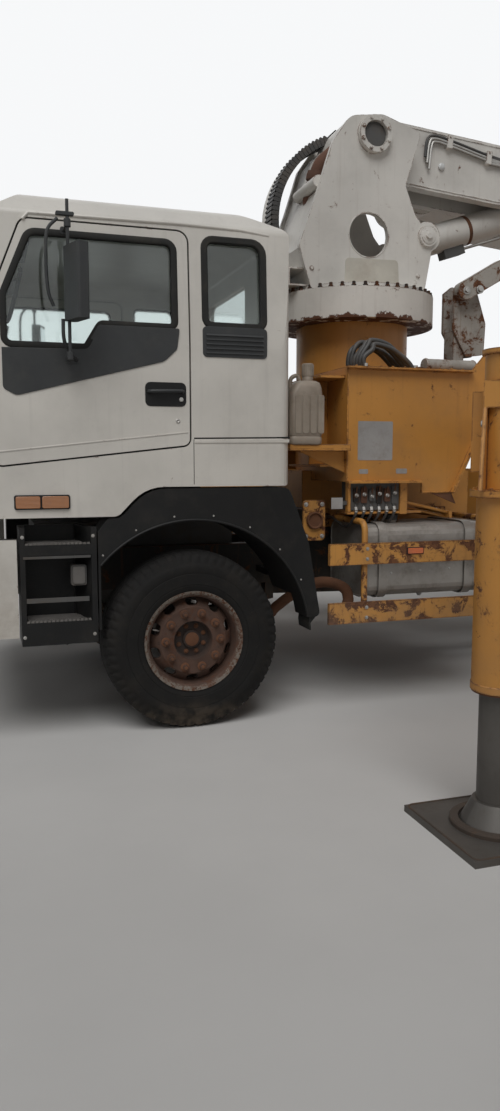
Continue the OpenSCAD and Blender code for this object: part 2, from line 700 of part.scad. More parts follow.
// Black trim round the front wheel
arch_r = 720;
module front_mudguards() color(black_plastic) both_sides() {
  // panel with its round arch, cut back behind its front leg for the steered tyre
  difference() {
    along_y(1000, 1205)
      polygon(rounded([[fa - 800, 640, 30], [fa + 558, 640, 0], [fa + 558, 1200, 20], [fa + 500, 1275, 40],
                       [fa + 428, 1275, 60], [fa + 268, 1440, 250], [fa - 590, 1440, 60], [fa - 720, 1100, 120]]));
    intersection() {
      rod_y(fa, 990, 1300, axle_z, arch_r, 96);
      block([fa - 800, 989, axle_z], [fa + 545, 1301, 1300]);
    }
    block([fa - arch_r, 990, 500], [fa + 545, 1300, axle_z + 1]);
    block([fa + 400, 990, 500], [fa + 600, 1140, 830]);
  }
  // inner liner over the wheel
  difference() {
    rod_y(fa, 640, 1010, axle_z, arch_r + 12, 96);
    rod_y(fa, 639, 1011, axle_z, arch_r, 96);
    block([fa - 800, 600, -300], [fa + 800, 1100, 760]);
    block([fa + 540, 925, -300], [fa + 800, 1100, 1300]);
  }
  // brackets to the frame rail
  for (x = [-678, 640])
    block([fa + x, rail_y, 835], [fa + x + 38, 660, 875]);
}
module cab_steps() color(black_plastic) both_sides() {
  x = [fa + 565, fa + 985];
  difference() {
    // the inner rear corner leaves room for the steered tyre
    translate([0, 0, 570]) linear_extrude(1230 - 570)
      polygon([[x[0], 1200], [x[0], 1130], [fa + 627, 1000], [fa + 627, 930], [x[1], 930], [x[1], 1200]]);
    // two stair wells that narrow inwards
    for (z = [[700, 1075], [1135, 1231]])
      translate([0, 0, z[0]]) linear_extrude(z[1] - z[0])
        polygon([[x[0] + 30, 1201], [fa + 665, 1000], [fa + 665, 960], [x[1] - 40, 960], [x[1] - 28, 1201]]);
  }
  // carriers back to the frame
  block([fa + 700, rail_y, 900], [fa + 760, 931, 960]);
  block([fa + 700, rail_y, 960], [fa + 760, 640, 1030]);
}
bumper_top = 1165;
module front_bumper() color(white_paint) {
  difference() {
    translate([0, 0, 620]) linear_extrude(bumper_top - 620)
      polygon(rounded([[fa + 1000, -1200, 0], [fa + 1300, -1200, 100], [fa + 1400, -1080, 100], [fa + 1400, 1080, 100],
                       [fa + 1300, 1200, 100], [fa + 1000, 1200, 0]]));
    translate([0, 0, 619]) linear_extrude(bumper_top - 618)
      polygon([[fa + 999, -1150], [fa + 1280, -1150], [fa + 1350, -1060], [fa + 1350, 1060], [fa + 1280, 1150],
               [fa + 999, 1150]]);
    // recess of each head lamp
    both_sides() block([fa + 1360, 640, 780], [fa + 1401, 1010, 990]);
  }
  // brackets to the frame rails
  both_sides() block([frame_front, rail_y - 60, 800], [fa + 1351, rail_y, 980]);
}
module lamps() color("whitesmoke") {
  both_sides() {
    block([fa + 1360 + seat_gap, 645, 785], [fa + 1395, 1005, 985]);
    block([deck_x[0] - 45, 900, deck_z - 60], [deck_x[0], 1180, deck_z + deck_t]);
  }
}

// Pump between the rails' rear ends, on the deck
deck_x = [fa - 8400, fa - 4720];
deck_z = deck_base + 100;
deck_t = 20;
module deck() color(yellow_paint) {
  block([deck_x[0], -1200, deck_z], [deck_x[1], 1200, deck_z + deck_t]);
  for (x = [deck_x[1] - 60, rear_1_x - bogie_base / 2 - 30, rear_2_x - 740, deck_x[0] + 200])
    block([x, -1200, deck_base], [x + 60, 1200, deck_z]);
}
hopper_x = [fa - 9600, fa - 8750];
pump_z = deck_z + deck_t + pump_cyl_r + 25;
module pump_unit() color(yellow_paint) {
  both_sides() {
    rod_x(hopper_x[1], fa - 6500, 160, pump_z, pump_cyl_r);
    rod_x(fa - 6100, fa - 4850, 160, pump_z, drive_cyl_r);
  }
  block([fa - 6500, -330, deck_z + deck_t], [fa - 6100, 330, pump_z + 190]);
  for (x = [fa - 8300, fa - 7300, fa - 5000])
    difference() {
      block([x - 50, -330, deck_z + deck_t], [x + 50, 330, pump_z]);
      both_sides() rod_x(x - 60, x + 60, 160, pump_z, x > fa - 6000 ? drive_cyl_r - 2 : pump_cyl_r - 2);
    }
}
module hopper() color(yellow_paint) {
  outer = [[hopper_x[0], 1480], [hopper_x[0] + 40, 1100], [hopper_x[0] + 260, 720], [hopper_x[1] - 200, 720],
           [hopper_x[1], 1000], [hopper_x[1], 1560]];
  difference() {
    along_y(-hopper_half_w, hopper_half_w) polygon(outer);
    along_y(-hopper_half_w + 15, hopper_half_w - 15)
      polygon([for (p = inset([for (q = outer) [q[0], q[1], 0]], 15)) [p[0], p[1] > 1400 ? 1600 : p[1]]]);
    both_sides() rod_x(hopper_x[1] - 100, hopper_x[1] + 100, 160, pump_z, pump_cyl_r - 20);
    rod_y(grille_hinge[0], -hopper_half_w - 1, hopper_half_w + 1, grille_hinge[1], 10 + pin_gap);
  }
  // carriers on the frame's rear ends
  both_sides() block([hopper_x[1], rail_y - flange_w, 860], [frame_rear, rail_y, 1020]);
}
grille_hinge = [hopper_x[1] - 80, 1400];
module hopper_grille() color(dark_steel) {
  x0 = hopper_x[0] + 40;
  half_w = hopper_half_w - 15 - move_gap;
  // hinge tube with a pin at each end
  rod_y(grille_hinge[0], -half_w, half_w, grille_hinge[1], 14);
  rod_y(grille_hinge[0], -hopper_half_w + 2, hopper_half_w - 2, grille_hinge[1], 10);
  // flat bars on edge, tied by cross bars
  bar_pitch = 2 * (half_w - 8) / 9;
  for (i = [0 : 9])
    block([x0, -half_w + i * bar_pitch, 1380], [grille_hinge[0], -half_w + 8 + i * bar_pitch, 1420]);
  for (i = [0 : 3])
    block([x0 + 90 + i * 170, -half_w, 1388], [x0 + 98 + i * 170, half_w, 1412]);
}
module tanks() color(yellow_paint) both_sides() {
  along_x(fa - 6200, fa - 4800)
    polygon(rounded([[560, deck_z + deck_t, 0], [1180, deck_z + deck_t, 0], [1180, 1850, 80], [560, 1850, 80]], 4));
}
guard_r = tyre_d / 2 + 55;
module rear_mudguards() color(black_plastic) both_sides() {
  for (x = [rear_1_x, rear_2_x]) {
    difference() {
      rod_y(x, rear_face_in - twin_pitch - 10, 1245, axle_z, guard_r + 10, 96);
      rod_y(x, rear_face_in - twin_pitch - 11, 1246, axle_z, guard_r, 96);
      block([x - 700, 0, -200], [x + 700, 1300, 900]);
    }
    // bearer from the subframe
    block([x - 30, rail_y, axle_z + guard_r - 22], [x + 30, 1200, axle_z + guard_r + 5]);
  }
}
// Trestle under the first arm, with the rounded lever and its plates ahead of it
rest_s = 5300;
function boom_z(s) = pivot_z - s * sin(boom_dip);
function boom_x(s) = ped_x - s * cos(boom_dip);
rest_x = boom_x(rest_s);
lever_ends = [[ped_x - 715, 2835], [ped_x - 1030, 3015]];
module boom_rest() color(dark_steel) {
  top = boom_z(rest_s) - 180;
  post_y = base_y + pipe_d / 2 + 80;
  both_sides()
    block([rest_x - 60, post_y - 40, deck_z + deck_t], [rest_x + 60, post_y + 40, top - 120]);
  block([rest_x - 60, -post_y - 40, top - 200], [rest_x + 60, post_y + 40, top - 100]);
  on_boom(rest_s, true) block([-90, -150, -320], [90, 150, -180 - move_gap]);
  // rounded lever on two plates behind the slewing ring, on its own post
  block([ped_x - 770, 200, deck_base + 400 + seat_gap], [ped_x - 680, 330, 2560]);
  for (y = [180, 329])
    along_y(y, y + 21)
      polygon(rounded([[ped_x - 665, 2850, 10], [ped_x - 735, 2905, 20], [ped_x - 850, 2870, 40], [ped_x - 940, 2620, 60],
                       [ped_x - 930, 2390, 20], [ped_x - 780, 2370, 20], [ped_x - 665, 2560, 30]]));
  rod_y(ped_x - 820, 170, 450, 2845, 28);
  lever_dir = atan2(lever_ends[1][1] - lever_ends[0][1], lever_ends[1][0] - lever_ends[0][0]);
  along_y(360, 440)
    polygon([for (end = [0, 1], a = [-90 : 15 : 90])
      let (t = lever_dir + a + (end == 0 ? 180 : 0)) lever_ends[end] + 66 * [cos(t), sin(t)]]);
}
module valve_block() color(dark_steel) {
  block([fa - 1440, 860, 1280], [fa - 1090, 990, cheek_low - seat_gap]);
}
module jerrycan() color("white") {
  along_y(880, 1100)
    polygon(rounded([[fa - 860, 1694, 25], [fa - 631, 1694, 25], [fa - 631, 2010, 60], [fa - 690, 2092, 30],
                     [fa - 860, 2092, 45]]));
  rod_z(fa - 770, 1000, 2090, 2200, 33);
  // shelf on the pedestal's front web
  block([fa - 1050 + seat_gap, 900, 1660], [fa - 640, 1080, 1695]);
}
base_y = 420;
base_z = 2230;
module base_pipe() color(rust_brown) {
  rear_x = frame_rear;
  front_x = ped_x - 600;
  low_z = 1300;
  difference() {
    union() {
      rod_x(rear_x, front_x, base_y, base_z, pipe_d / 2);
      rod_z(rear_x, base_y, low_z, base_z, pipe_d / 2);
      rod_x(hopper_x[1], rear_x, base_y, low_z, pipe_d / 2);
      for (p = [[front_x, base_z], [rear_x, base_z], [rear_x, low_z]])
        translate([p[0], base_y, p[1]]) sphere(r = pipe_d / 2 + 6);
      translate([front_x, base_y, base_z]) rotate([0, 0, atan2(-base_y, ped_x - front_x)])
        rod_x(0, 500, 0, 0, pipe_d / 2);
    }
    rod_z(ped_x, 0, 2000, 2400, column_r + seat_gap);
  }
}

// Turret
pin_x = ped_x;
cheek_outline = [
  [ped_x + 470, turret_z, 0], [ped_x + 565, 3080, 60], [ped_x + 420, 3480, 60], [ped_x + 320, 3790, 80],
  [ped_x + 190, 3975, 120], [ped_x - 60, pivot_z + 170, 110], [ped_x - 365, 3920, 40], [ped_x - 247, 3546, 30],
  [ped_x - 325, 3360, 40], [ped_x - 480, 3180, 60], [ped_x - 411, turret_z, 0]
];
lift_low = [ped_x - 430, 3212];
// Hose chain's tray: a bent strip ahead of the far cheek
chain_c = [ped_x - 50, 3360];
chain_r = 640;
module turret() color(white_paint) {
  rod_z(ped_x, 0, turret_z, turret_z + 30, ring_r - 40);
  both_sides() {
    difference() {
      along_y(cheek_y, cheek_y + cheek_t) {
        polygon(rounded([for (i = [len(cheek_outline) - 1 : -1 : 0]) cheek_outline[i]]));
        translate(lift_low) circle(r = 105);
      }
      rod_y(ped_x + 36, cheek_y - 1, cheek_y + cheek_t + 1, 3187, 150);
    }
    // boss of the lifting cylinder's pin
    rod_y(lift_low[0], cheek_y + cheek_t - 1, cheek_y + cheek_t + 22, lift_low[1], 72);
  }
  // pivot tube through both cheeks, in a flange ring outside the left one
  rod_y(pin_x, -cheek_y - cheek_t - 20, cheek_y + cheek_t + 8, pivot_z, 95);
  difference() {
    rod_y(pin_x + 8, cheek_y + cheek_t - 1, cheek_y + cheek_t + 42, pivot_z + 22, 124);
    rod_y(pin_x + 8, cheek_y + cheek_t + 8, cheek_y + cheek_t + 43, pivot_z + 22, 88);
  }
  // front web, its narrower upper part on the far side, and the tube between
  along_y(-cheek_y, cheek_y)
    polygon([[ped_x + 448, turret_z + 29], [ped_x + 540, 3080], [ped_x + 397, 3480], [ped_x + 385, 3476],
             [ped_x + 527, 3080], [ped_x + 436, turret_z + 29]]);
  along_y(-cheek_y, -80)
    polygon([[ped_x + 397, 3479], [ped_x + 299, 3782], [ped_x + 237, 3863], [ped_x + 227, 3855],
             [ped_x + 287, 3776], [ped_x + 385, 3475]]);
  rod_y(ped_x + 405, -90, cheek_y, 3530, 42);
  // step in front of the web
  block([ped_x + 440, -290, turret_z + 29], [ped_x + 620, 290, turret_z + 41]);
  block([ped_x + 608, -290, turret_z + 29], [ped_x + 620, 290, 2945]);
  block([ped_x + 480, -290, 2933], [ped_x + 620, 290, 2945]);
  // tray of the hose chain, with its foot on the far cheek
  along_y(-cheek_y - 1, -215)
    translate(chain_c)
      polygon([for (a = [-4 : 6 : 68]) chain_r * [cos(a), sin(a)],
               for (a = [68 : -6 : -4]) (chain_r + 22) * [cos(a), sin(a)]]);
  block([ped_x + 440, -cheek_y - 1, 3300], [ped_x + 600, -215, 3316]);
  // pin of the lifting cylinder
  rod_y(lift_low[0], -cheek_y, cheek_y, lift_low[1], 45);
}

// Boom, drawn folded: each arm lies along the line of the first
module on_boom(s, back) {
  translate([boom_x(s), 0, boom_z(s)]) rotate([0, -boom_dip, 0]) rotate([0, 0, back ? 180 : 0]) children();
}
// Beam of one arm from its root pin at 0 to its tip pin at l; y0 and y1 are its sides
module beam(l, y0, y1, root_r, tip_r, depth_root, depth_tip) {
  along_y(y0, y1) {
    circle(r = root_r);
    translate([l, 0]) circle(r = tip_r);
    polygon([[0, -depth_root / 2], [l * 0.25, -depth_root / 2], [l, -depth_tip / 2], [l, depth_tip / 2],
             [l * 0.25, depth_root / 2], [0, depth_root / 2]]);
  }
}
lane_1 = [-200, 200];
lane_2 = [420, 700];
lane_3 = [740, 980];
lane_4 = [1020, 1200];
fold_s = 800;
lift_s = 1900;
module boom_arm_1() color(white_paint) on_boom(0, true) difference() {
  union() {
    beam(arm_1_l, lane_1[0], lane_1[1], 215, 250, 430, 300);
    // stub shaft that carries the second arm
    rod_y(arm_1_l, 199, lane_2[0] - move_gap, 0, 150);
    rod_y(arm_1_l, 199, lane_2[1], 0, fold_pin_r);
    // bosses of the lifting cylinder's eye, on both sides
    rod_y(lift_s, -215, 215, 0, 85);
    // delivery pipe on the right side
    rod_x(650, arm_1_l - 500, 275, 0, pipe_d / 2);
    for (s = [1000 : 1500 : arm_1_l - 900])
      block([s, 199, -30], [s + 60, 260, 30]);
    // barrel of the second arm's cylinder
    rod_x(arm_1_l - 3300, arm_1_l - 1500, 0, 330, 85);
    for (s = [arm_1_l - 3250, arm_1_l - 1650])
      block([s, -60, 100], [s + 80, 60, 330]);
  }
  rod_y(0, -201, 201, 0, 95 + pin_gap);
  // slot in the underside that takes the lifting cylinder, and the holes of its eye's pin
  block([300, -118, -300], [lift_s + 110, 118, 125]);
  rod_y(lift_s, -216, 216, 0, 45);
  rod_x(arm_1_l - 3200, arm_1_l - 1499, 0, 330, 50);
}
module boom_arm_2() color(white_paint) on_boom(arm_1_l, false) mirror([0, 1, 0]) difference() {
  union() {
    beam(arm_mid_l, lane_2[0], lane_2[1], 180, 170, 300, 240);
    rod_y(arm_mid_l, lane_2[1] - 1, lane_3[0] - move_gap, 0, 120);
    rod_y(arm_mid_l, lane_2[1] - 1, lane_3[1], 0, fold_pin_r - 20);
    rod_x(200, arm_mid_l - 300, lane_2[1] - 66, 230, pipe_d / 2);
    for (s = [700 : 1500 : arm_mid_l - 400])
      block([s, lane_2[1] - 96, 100], [s + 60, lane_2[1] - 36, 190]);
    rod_x(arm_mid_l - 2900, arm_mid_l - 1300, lane_2[0] + 75, 230, 65);
    for (s = [arm_mid_l - 2850, arm_mid_l - 1450])
      block([s, lane_2[0] + 30, 100], [s + 80, lane_2[0] + 120, 230]);
  }
  rod_y(0, lane_2[0] - 1, lane_2[1] + 1, 0, fold_pin_r + pin_gap);
  rod_x(arm_mid_l - 2800, arm_mid_l - 1299, lane_2[0] + 75, 230, 40);
}
module boom_arm_3() color(white_paint) on_boom(fold_s, true) difference() {
  union() {
    beam(arm_mid_l, lane_3[0], lane_3[1], 150, 140, 260, 200);
    rod_y(arm_mid_l, lane_3[1] - 1, lane_4[0] - move_gap, 0, 100);
    rod_y(arm_mid_l, lane_3[1] - 1, lane_4[1], 0, fold_pin_r - 30);
    rod_x(200, arm_mid_l - 300, lane_3[1] - 66, 205, pipe_d / 2);
    for (s = [700 : 1500 : arm_mid_l - 400])
      block([s, lane_3[1] - 96, 80], [s + 60, lane_3[1] - 36, 170]);
    rod_x(arm_mid_l - 2600, arm_mid_l - 1200, lane_3[0] + 58, 195, 52);
    for (s = [arm_mid_l - 2550, arm_mid_l - 1350])
      block([s, lane_3[0] + 20, 80], [s + 80, lane_3[0] + 96, 195]);
  }
  rod_y(0, lane_3[0] - 1, lane_3[1] + 1, 0, fold_pin_r - 20 + pin_gap);
  rod_x(arm_mid_l - 2500, arm_mid_l - 1199, lane_3[0] + 58, 195, 32);
}
module boom_arm_4() color(white_paint) on_boom(fold_s + arm_mid_l, false) mirror([0, 1, 0]) difference() {
  union() {
    beam(arm_4_l - 500, lane_4[0], lane_4[1], 130, 90, 220, 140);
    rod_x(200, arm_4_l, 1110, 175, pipe_d / 2);
    rod_x(arm_4_l - 60, arm_4_l, 1110, 175, pipe_d / 2 + 14);
    for (s = [700 : 1400 : arm_4_l - 600])
      block([s, 1080, 60], [s + 60, 1140, 130]);
  }
  rod_y(0, lane_4[0] - 1, lane_4[1] + 1, 0, fold_pin_r - 30 + pin_gap);
  rod_x(arm_4_l - 300, arm_4_l + 1, 1110, 175, pipe_bore / 2);
}
module fold_rod_2() color(bare_grey) on_boom(0, true) {
  rod_x(arm_1_l - 2700, arm_1_l - 700, 0, 330, 50 - slide_gap);
  rod_y(arm_1_l - 660, -45, 45, 330, 70);
}
module fold_rod_3() color(bare_grey) on_boom(arm_1_l, false) mirror([0, 1, 0]) {
  rod_x(arm_mid_l - 2300, arm_mid_l - 600, lane_2[0] + 75, 230, 40 - slide_gap);
  rod_y(arm_mid_l - 560, lane_2[0] + 35, lane_2[0] + 115, 230, 60);
}
module fold_rod_4() color(bare_grey) on_boom(fold_s, true) {
  rod_x(arm_mid_l - 2050, arm_mid_l - 500, lane_3[0] + 58, 195, 32 - slide_gap);
  rod_y(arm_mid_l - 465, lane_3[0] + 25, lane_3[0] + 90, 195, 50);
}

// Lifting cylinder between the turret's pin and the eye's pin in the first arm
lift_dx = lift_low[0] - boom_x(lift_s);
lift_dz = boom_z(lift_s) - lift_low[1];
lift_len = norm([lift_dx, lift_dz]);
lift_tilt = atan2(lift_dz, lift_dx);
module on_lift() {
  translate([lift_low[0], 0, lift_low[1]]) rotate([0, lift_tilt, 0]) rotate([0, 0, 180]) children();
}
module lift_barrel() color(white_paint) on_lift() difference() {
  union() {
    rod_x(0, lift_len - 140, 0, 0, 110);
    rod_y(0, -90, 90, 0, 100);
  }
  rod_y(0, -111, 111, 0, 45 + pin_gap);
  rod_x(95, lift_len, 0, 0, 62);
}
module lift_rod() color(bare_grey) on_lift() difference() {
  union() {
    rod_x(100, lift_len - 120, 0, 0, 62 - slide_gap);
    block([lift_len - 125, -30, -45], [lift_len, 30, 45]);
    rod_y(lift_len, -30, 30, 0, 75);
  }
  rod_y(lift_len, -31, 31, 0, 45);
}

chassis_frame();
axles_and_springs();
engine();
fuel_tank();
side_guards();
pedestal();
slewing_ring();
outrigger_housings();
front_mudguards();
cab_steps();
front_bumper();
lamps();
pump_unit();
hopper();
hopper_grille();
deck();
boom_rest();
tanks();
rear_mudguards();
valve_block();
jerrycan();
base_pipe();
cab_shell();
cab_glass();
seats();
dashboard();
door(1);  // door_left
door(-1);  // door_right
door_glass(1);  // door_glass_left
door_glass(-1);  // door_glass_right
mirror_unit(1);  // mirror_left
mirror_unit(-1);  // mirror_right
knuckle(1);  // knuckle_left
knuckle(-1);  // knuckle_right
tyre_front(1);  // tyre_front_left
tyre_front(-1);  // tyre_front_right
rim_front(1);  // rim_front_left
rim_front(-1);  // rim_front_right
wheels_rear(rear_1_x, 1);  // wheels_rear_1_left
wheels_rear(rear_1_x, -1);  // wheels_rear_1_right
wheels_rear(rear_2_x, 1);  // wheels_rear_2_left
wheels_rear(rear_2_x, -1);  // wheels_rear_2_right
turret();
lift_barrel();
lift_rod();
boom_arm_1();
boom_arm_2();
boom_arm_3();
boom_arm_4();
fold_rod_2();
fold_rod_3();
fold_rod_4();
outrigger_front(1);  // outrigger_front_left
outrigger_front(-1);  // outrigger_front_right
outrigger_rear(1);  // outrigger_rear_left
outrigger_rear(-1);  // outrigger_rear_right
jack_front(1);  // jack_front_left
jack_front(-1);  // jack_front_right
jack_rear(1);  // jack_rear_left
jack_rear(-1);  // jack_rear_right
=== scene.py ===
"""Looks of the concrete pump truck: materials and fine pieces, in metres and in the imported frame."""
import math

import bmesh
import bpy
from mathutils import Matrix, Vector


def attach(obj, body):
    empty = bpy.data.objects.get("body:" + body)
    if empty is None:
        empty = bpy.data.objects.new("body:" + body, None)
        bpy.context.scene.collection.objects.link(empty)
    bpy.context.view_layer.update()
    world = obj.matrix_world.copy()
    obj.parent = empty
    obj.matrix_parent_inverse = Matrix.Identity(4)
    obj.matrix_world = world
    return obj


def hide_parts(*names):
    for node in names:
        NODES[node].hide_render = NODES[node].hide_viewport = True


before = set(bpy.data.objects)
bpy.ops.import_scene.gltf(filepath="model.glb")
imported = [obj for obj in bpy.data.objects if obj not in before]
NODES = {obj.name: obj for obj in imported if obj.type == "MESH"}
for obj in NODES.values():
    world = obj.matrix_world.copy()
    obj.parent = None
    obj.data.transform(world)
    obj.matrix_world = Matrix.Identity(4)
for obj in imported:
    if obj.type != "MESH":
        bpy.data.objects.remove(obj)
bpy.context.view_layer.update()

# Places that the source also uses
FA = 4.182                 # front axle
AXLE_Z = 0.535
PED = 2.642                # slewing axis
REAR = (-1.068, -2.418)    # rear axles
TURRET_Z = 2.7905
PIVOT_Z = 3.84
DIP = math.radians(4.5)
FWD = Vector((math.cos(DIP), 0, math.sin(DIP)))
UP_BOOM = Vector((-math.sin(DIP), 0, math.cos(DIP)))
X_AXIS, Y_AXIS, Z_AXIS = Vector((1, 0, 0)), Vector((0, 1, 0)), Vector((0, 0, 1))
CAB_HALF = 1.2             # half width of the cab
SEAM_Z = 2.25              # its sides lean in above this
CAB_FRONT = FA + 1.360
SCREEN_Z = 2.03            # foot of the windscreen
NUT_RING = 0.1675          # radius of the wheel nuts' circle
TYRE_W = 0.315
FRONT_FACE = 1.2           # outer side of the front tyres
TWIN_FACES = (1.237, 0.887)
LIFT_S = 1.9               # eye of the lift cylinder along the first arm
LIFT_X, LIFT_Z = PED - 0.430, 3.212
PIPE_R, PIPE_LIP = 0.061, 0.068
LEG_FOOT = Vector((FA - 0.91, 2.93, 0))
LEG_TURN = math.radians(50.4)
REAR_LEG, REAR_TURN = 1.75, math.radians(60)
FOOT_HALF = 0.283          # half side of the foot plates, to their edge bead
DECK_Z = 1.25
RAIL_Y, RAIL_Z = 1.16, 2.0  # hand rail beside the deck
PIPE_Y, PIPE_Z = 0.42, 2.23
HOPPER = FA - 9.6          # rear end of the hopper


# Procedural materials
class Surface:
    """A node material that is built up in layers over one base colour."""

    def __init__(self, name, base, rough=0.5, metal=0.0, **sockets):
        self.mat = bpy.data.materials.new(name)
        self.mat.use_nodes = True
        self.tree = self.mat.node_tree
        self.bsdf = self.tree.nodes["Principled BSDF"]
        self.bsdf.inputs["Metallic"].default_value = metal
        for key, value in sockets.items():
            self.bsdf.inputs[key.replace("_", " ")].default_value = value
        self.coords = self.tree.nodes.new("ShaderNodeTexCoord").outputs["Object"]
        self.bsdf.inputs["Base Color"].default_value = (*base, 1)
        self.bsdf.inputs["Roughness"].default_value = rough
        self.colour = (*base, 1)
        self.rough = rough
        self.height = None

    def node(self, kind, **settings):
        made = self.tree.nodes.new(kind)
        for key, value in settings.items():
            setattr(made, key, value)
        return made

    def link(self, source, socket):
        if hasattr(source, "is_output"):
            self.tree.links.new(source, socket)
        else:
            socket.default_value = source

    def maths(self, operation, a, b=0.0, clamp=False):
        made = self.node("ShaderNodeMath", operation=operation, use_clamp=clamp)
        self.link(a, made.inputs[0])
        self.link(b, made.inputs[1])
        return made.outputs[0]

    def scaled(self, stretch):
        made = self.node("ShaderNodeMapping")
        self.link(self.coords, made.inputs[0])
        made.inputs["Scale"].default_value = stretch
        return made.outputs[0]

    def noise(self, scale, detail=4.0, rough=0.55, stretch=None, distort=0.0):
        made = self.node("ShaderNodeTexNoise")
        self.link(self.scaled(stretch) if stretch else self.coords, made.inputs["Vector"])
        made.inputs["Scale"].default_value = scale
        made.inputs["Detail"].default_value = detail
        made.inputs["Roughness"].default_value = rough
        made.inputs["Distortion"].default_value = distort
        return made.outputs["Fac"]

    def wave(self, direction, scale, distort=0.0):
        made = self.node("ShaderNodeTexWave", wave_type="BANDS", bands_direction=direction)
        self.link(self.coords, made.inputs["Vector"])
        made.inputs["Scale"].default_value = scale
        made.inputs["Distortion"].default_value = distort
        return made.outputs["Fac"]

    def ramp(self, source, low, high, bottom=0.0, top=1.0):
        made = self.node("ShaderNodeMapRange", interpolation_type="SMOOTHSTEP")
        self.link(source, made.inputs["Value"])
        for socket, number in zip(("From Min", "From Max", "To Min", "To Max"), (low, high, bottom, top)):
            made.inputs[socket].default_value = number
        return made.outputs[0]

    def axis(self, index):
        made = self.node("ShaderNodeSeparateXYZ")
        self.link(self.coords, made.inputs[0])
        return made.outputs[index]

    def edges(self, radius=0.012):
        """1 on sharp outer and inner edges."""
        near = self.node("ShaderNodeBevel", samples=4)
        near.inputs["Radius"].default_value = radius
        dot = self.node("ShaderNodeVectorMath", operation="DOT_PRODUCT")
        self.link(near.outputs[0], dot.inputs[0])
        self.link(self.node("ShaderNodeNewGeometry").outputs["Normal"], dot.inputs[1])
        return self.ramp(self.maths("SUBTRACT", 1.0, dot.outputs["Value"]), 0.0, 0.12)

    def layer(self, mask, colour, rough=None, relief=0.0):
        """Lays a colour over what is there where the mask is 1."""
        made = self.node("ShaderNodeMix", data_type="RGBA")
        self.link(mask, made.inputs[0])
        self.link(self.colour, made.inputs[6])
        self.link((*colour, 1) if isinstance(colour, tuple) else colour, made.inputs[7])
        self.colour = made.outputs[2]
        if rough is not None:
            made = self.node("ShaderNodeMix", data_type="FLOAT")
            self.link(mask, made.inputs[0])
            self.link(self.rough, made.inputs[2])
            made.inputs[3].default_value = rough
            self.rough = made.outputs[0]
        if relief:
            self.raise_by(mask, relief)

    def stain(self, grain, low, high, top, colour, rough=None, relief=0.0):
        """Lays a colour where a noise of (scale, detail, roughness) passes from low to high."""
        self.layer(self.ramp(self.noise(*grain), low, high, 0, top), colour, rough, relief)

    def raise_by(self, mask, amount):
        lift = self.maths("MULTIPLY", mask, amount)
        self.height = lift if self.height is None else self.maths("ADD", self.height, lift)

    def vary(self, amount, scale=2.5):
        """Brightens and darkens the colour in broad clouds."""
        made = self.node("ShaderNodeHueSaturation")
        self.link(self.ramp(self.noise(scale, 5), 0.3, 0.7, 1 - amount, 1 + amount), made.inputs["Value"])
        self.link(self.colour, made.inputs["Color"])
        self.colour = made.outputs[0]

    def done(self):
        self.link(self.colour, self.bsdf.inputs["Base Color"])
        self.link(self.rough, self.bsdf.inputs["Roughness"])
        if self.height is not None:
            bump = self.node("ShaderNodeBump")
            bump.inputs["Distance"].default_value = 0.001
            self.link(self.height, bump.inputs["Height"])
            self.link(bump.outputs[0], self.bsdf.inputs["Normal"])
        return self.mat


RUST = (0.085, 0.030, 0.012)
RUST_PALE = (0.16, 0.065, 0.025)
DUST = (0.24, 0.185, 0.135)
GRIME = (0.10, 0.085, 0.07)


def painted(name, base, rough, rust, wear, dirt, runs, dust_top=1.3, coat=0.15, edge=None, **sockets):
    """Old paint: clouds, grime, rain runs, chips down to rust, road dust and a rusty lower edge."""
    s = Surface(name, base, rough, Coat_Weight=coat, Coat_Roughness=0.35, **sockets)
    s.vary(0.07, 1.7)
    clouds = s.noise(3.2, 9, 0.62)
    s.layer(s.ramp(clouds, 0.42, 0.78, 0, dirt), GRIME, 0.75)
    column = s.noise(1.0, 5, 0.6, (26, 26, 1.3))
    s.layer(s.ramp(column, 0.54, 0.74, 0, runs), RUST_PALE if rust > 0.4 else GRIME, 0.7)
    fine = s.noise(42, 8, 0.7)
    s.layer(s.ramp(fine, 0.60, 0.72, 0, dirt * 0.9), GRIME)
    if rust:
        spots = s.noise(9, 12, 0.72, distort=0.4)
        chance = s.maths("ADD", spots, s.maths("MULTIPLY", s.edges(), wear))
        chip = s.ramp(chance, 0.72 - 0.14 * rust, 0.74 - 0.14 * rust)
        s.layer(s.ramp(chance, 0.66 - 0.14 * rust, 0.75 - 0.14 * rust, 0, 0.55), RUST_PALE, 0.8)
        s.layer(chip, RUST, 0.92, -0.8)
        s.layer(s.maths("MULTIPLY", chip, s.ramp(fine, 0.45, 0.6)), RUST_PALE)
    if edge:
        near = s.ramp(s.axis(2), edge + 0.055, edge, 0, 0.22)
        s.layer(s.ramp(s.maths("ADD", s.noise(7, 12, 0.7), near), 0.66, 0.68), RUST, 0.92, -0.8)
    low = s.ramp(s.axis(2), dust_top, 0.15, 0, 0.75)
    s.layer(s.maths("MULTIPLY", low, s.ramp(s.noise(5, 8, 0.65), 0.3, 0.7)), DUST, 0.9)
    s.raise_by(s.noise(240, 2), 0.08)
    return s.done()


def plain(name, base, rough, metal=0.0, grain=60.0, dirt=0.3, tint=GRIME, relief=0.25, **sockets):
    """Plastic, rubber, cast or bare metal with a fine grain and some dirt."""
    s = Surface(name, base, rough, metal, **sockets)
    s.vary(0.12, 4)
    s.stain((7, 9, 0.66), 0.45, 0.75, dirt, tint, 0.85)
    s.stain((grain, 6, 0.7), 0.55, 0.75, dirt * 0.6, tint)
    s.raise_by(s.noise(grain * 4, 3), relief)
    return s.done()


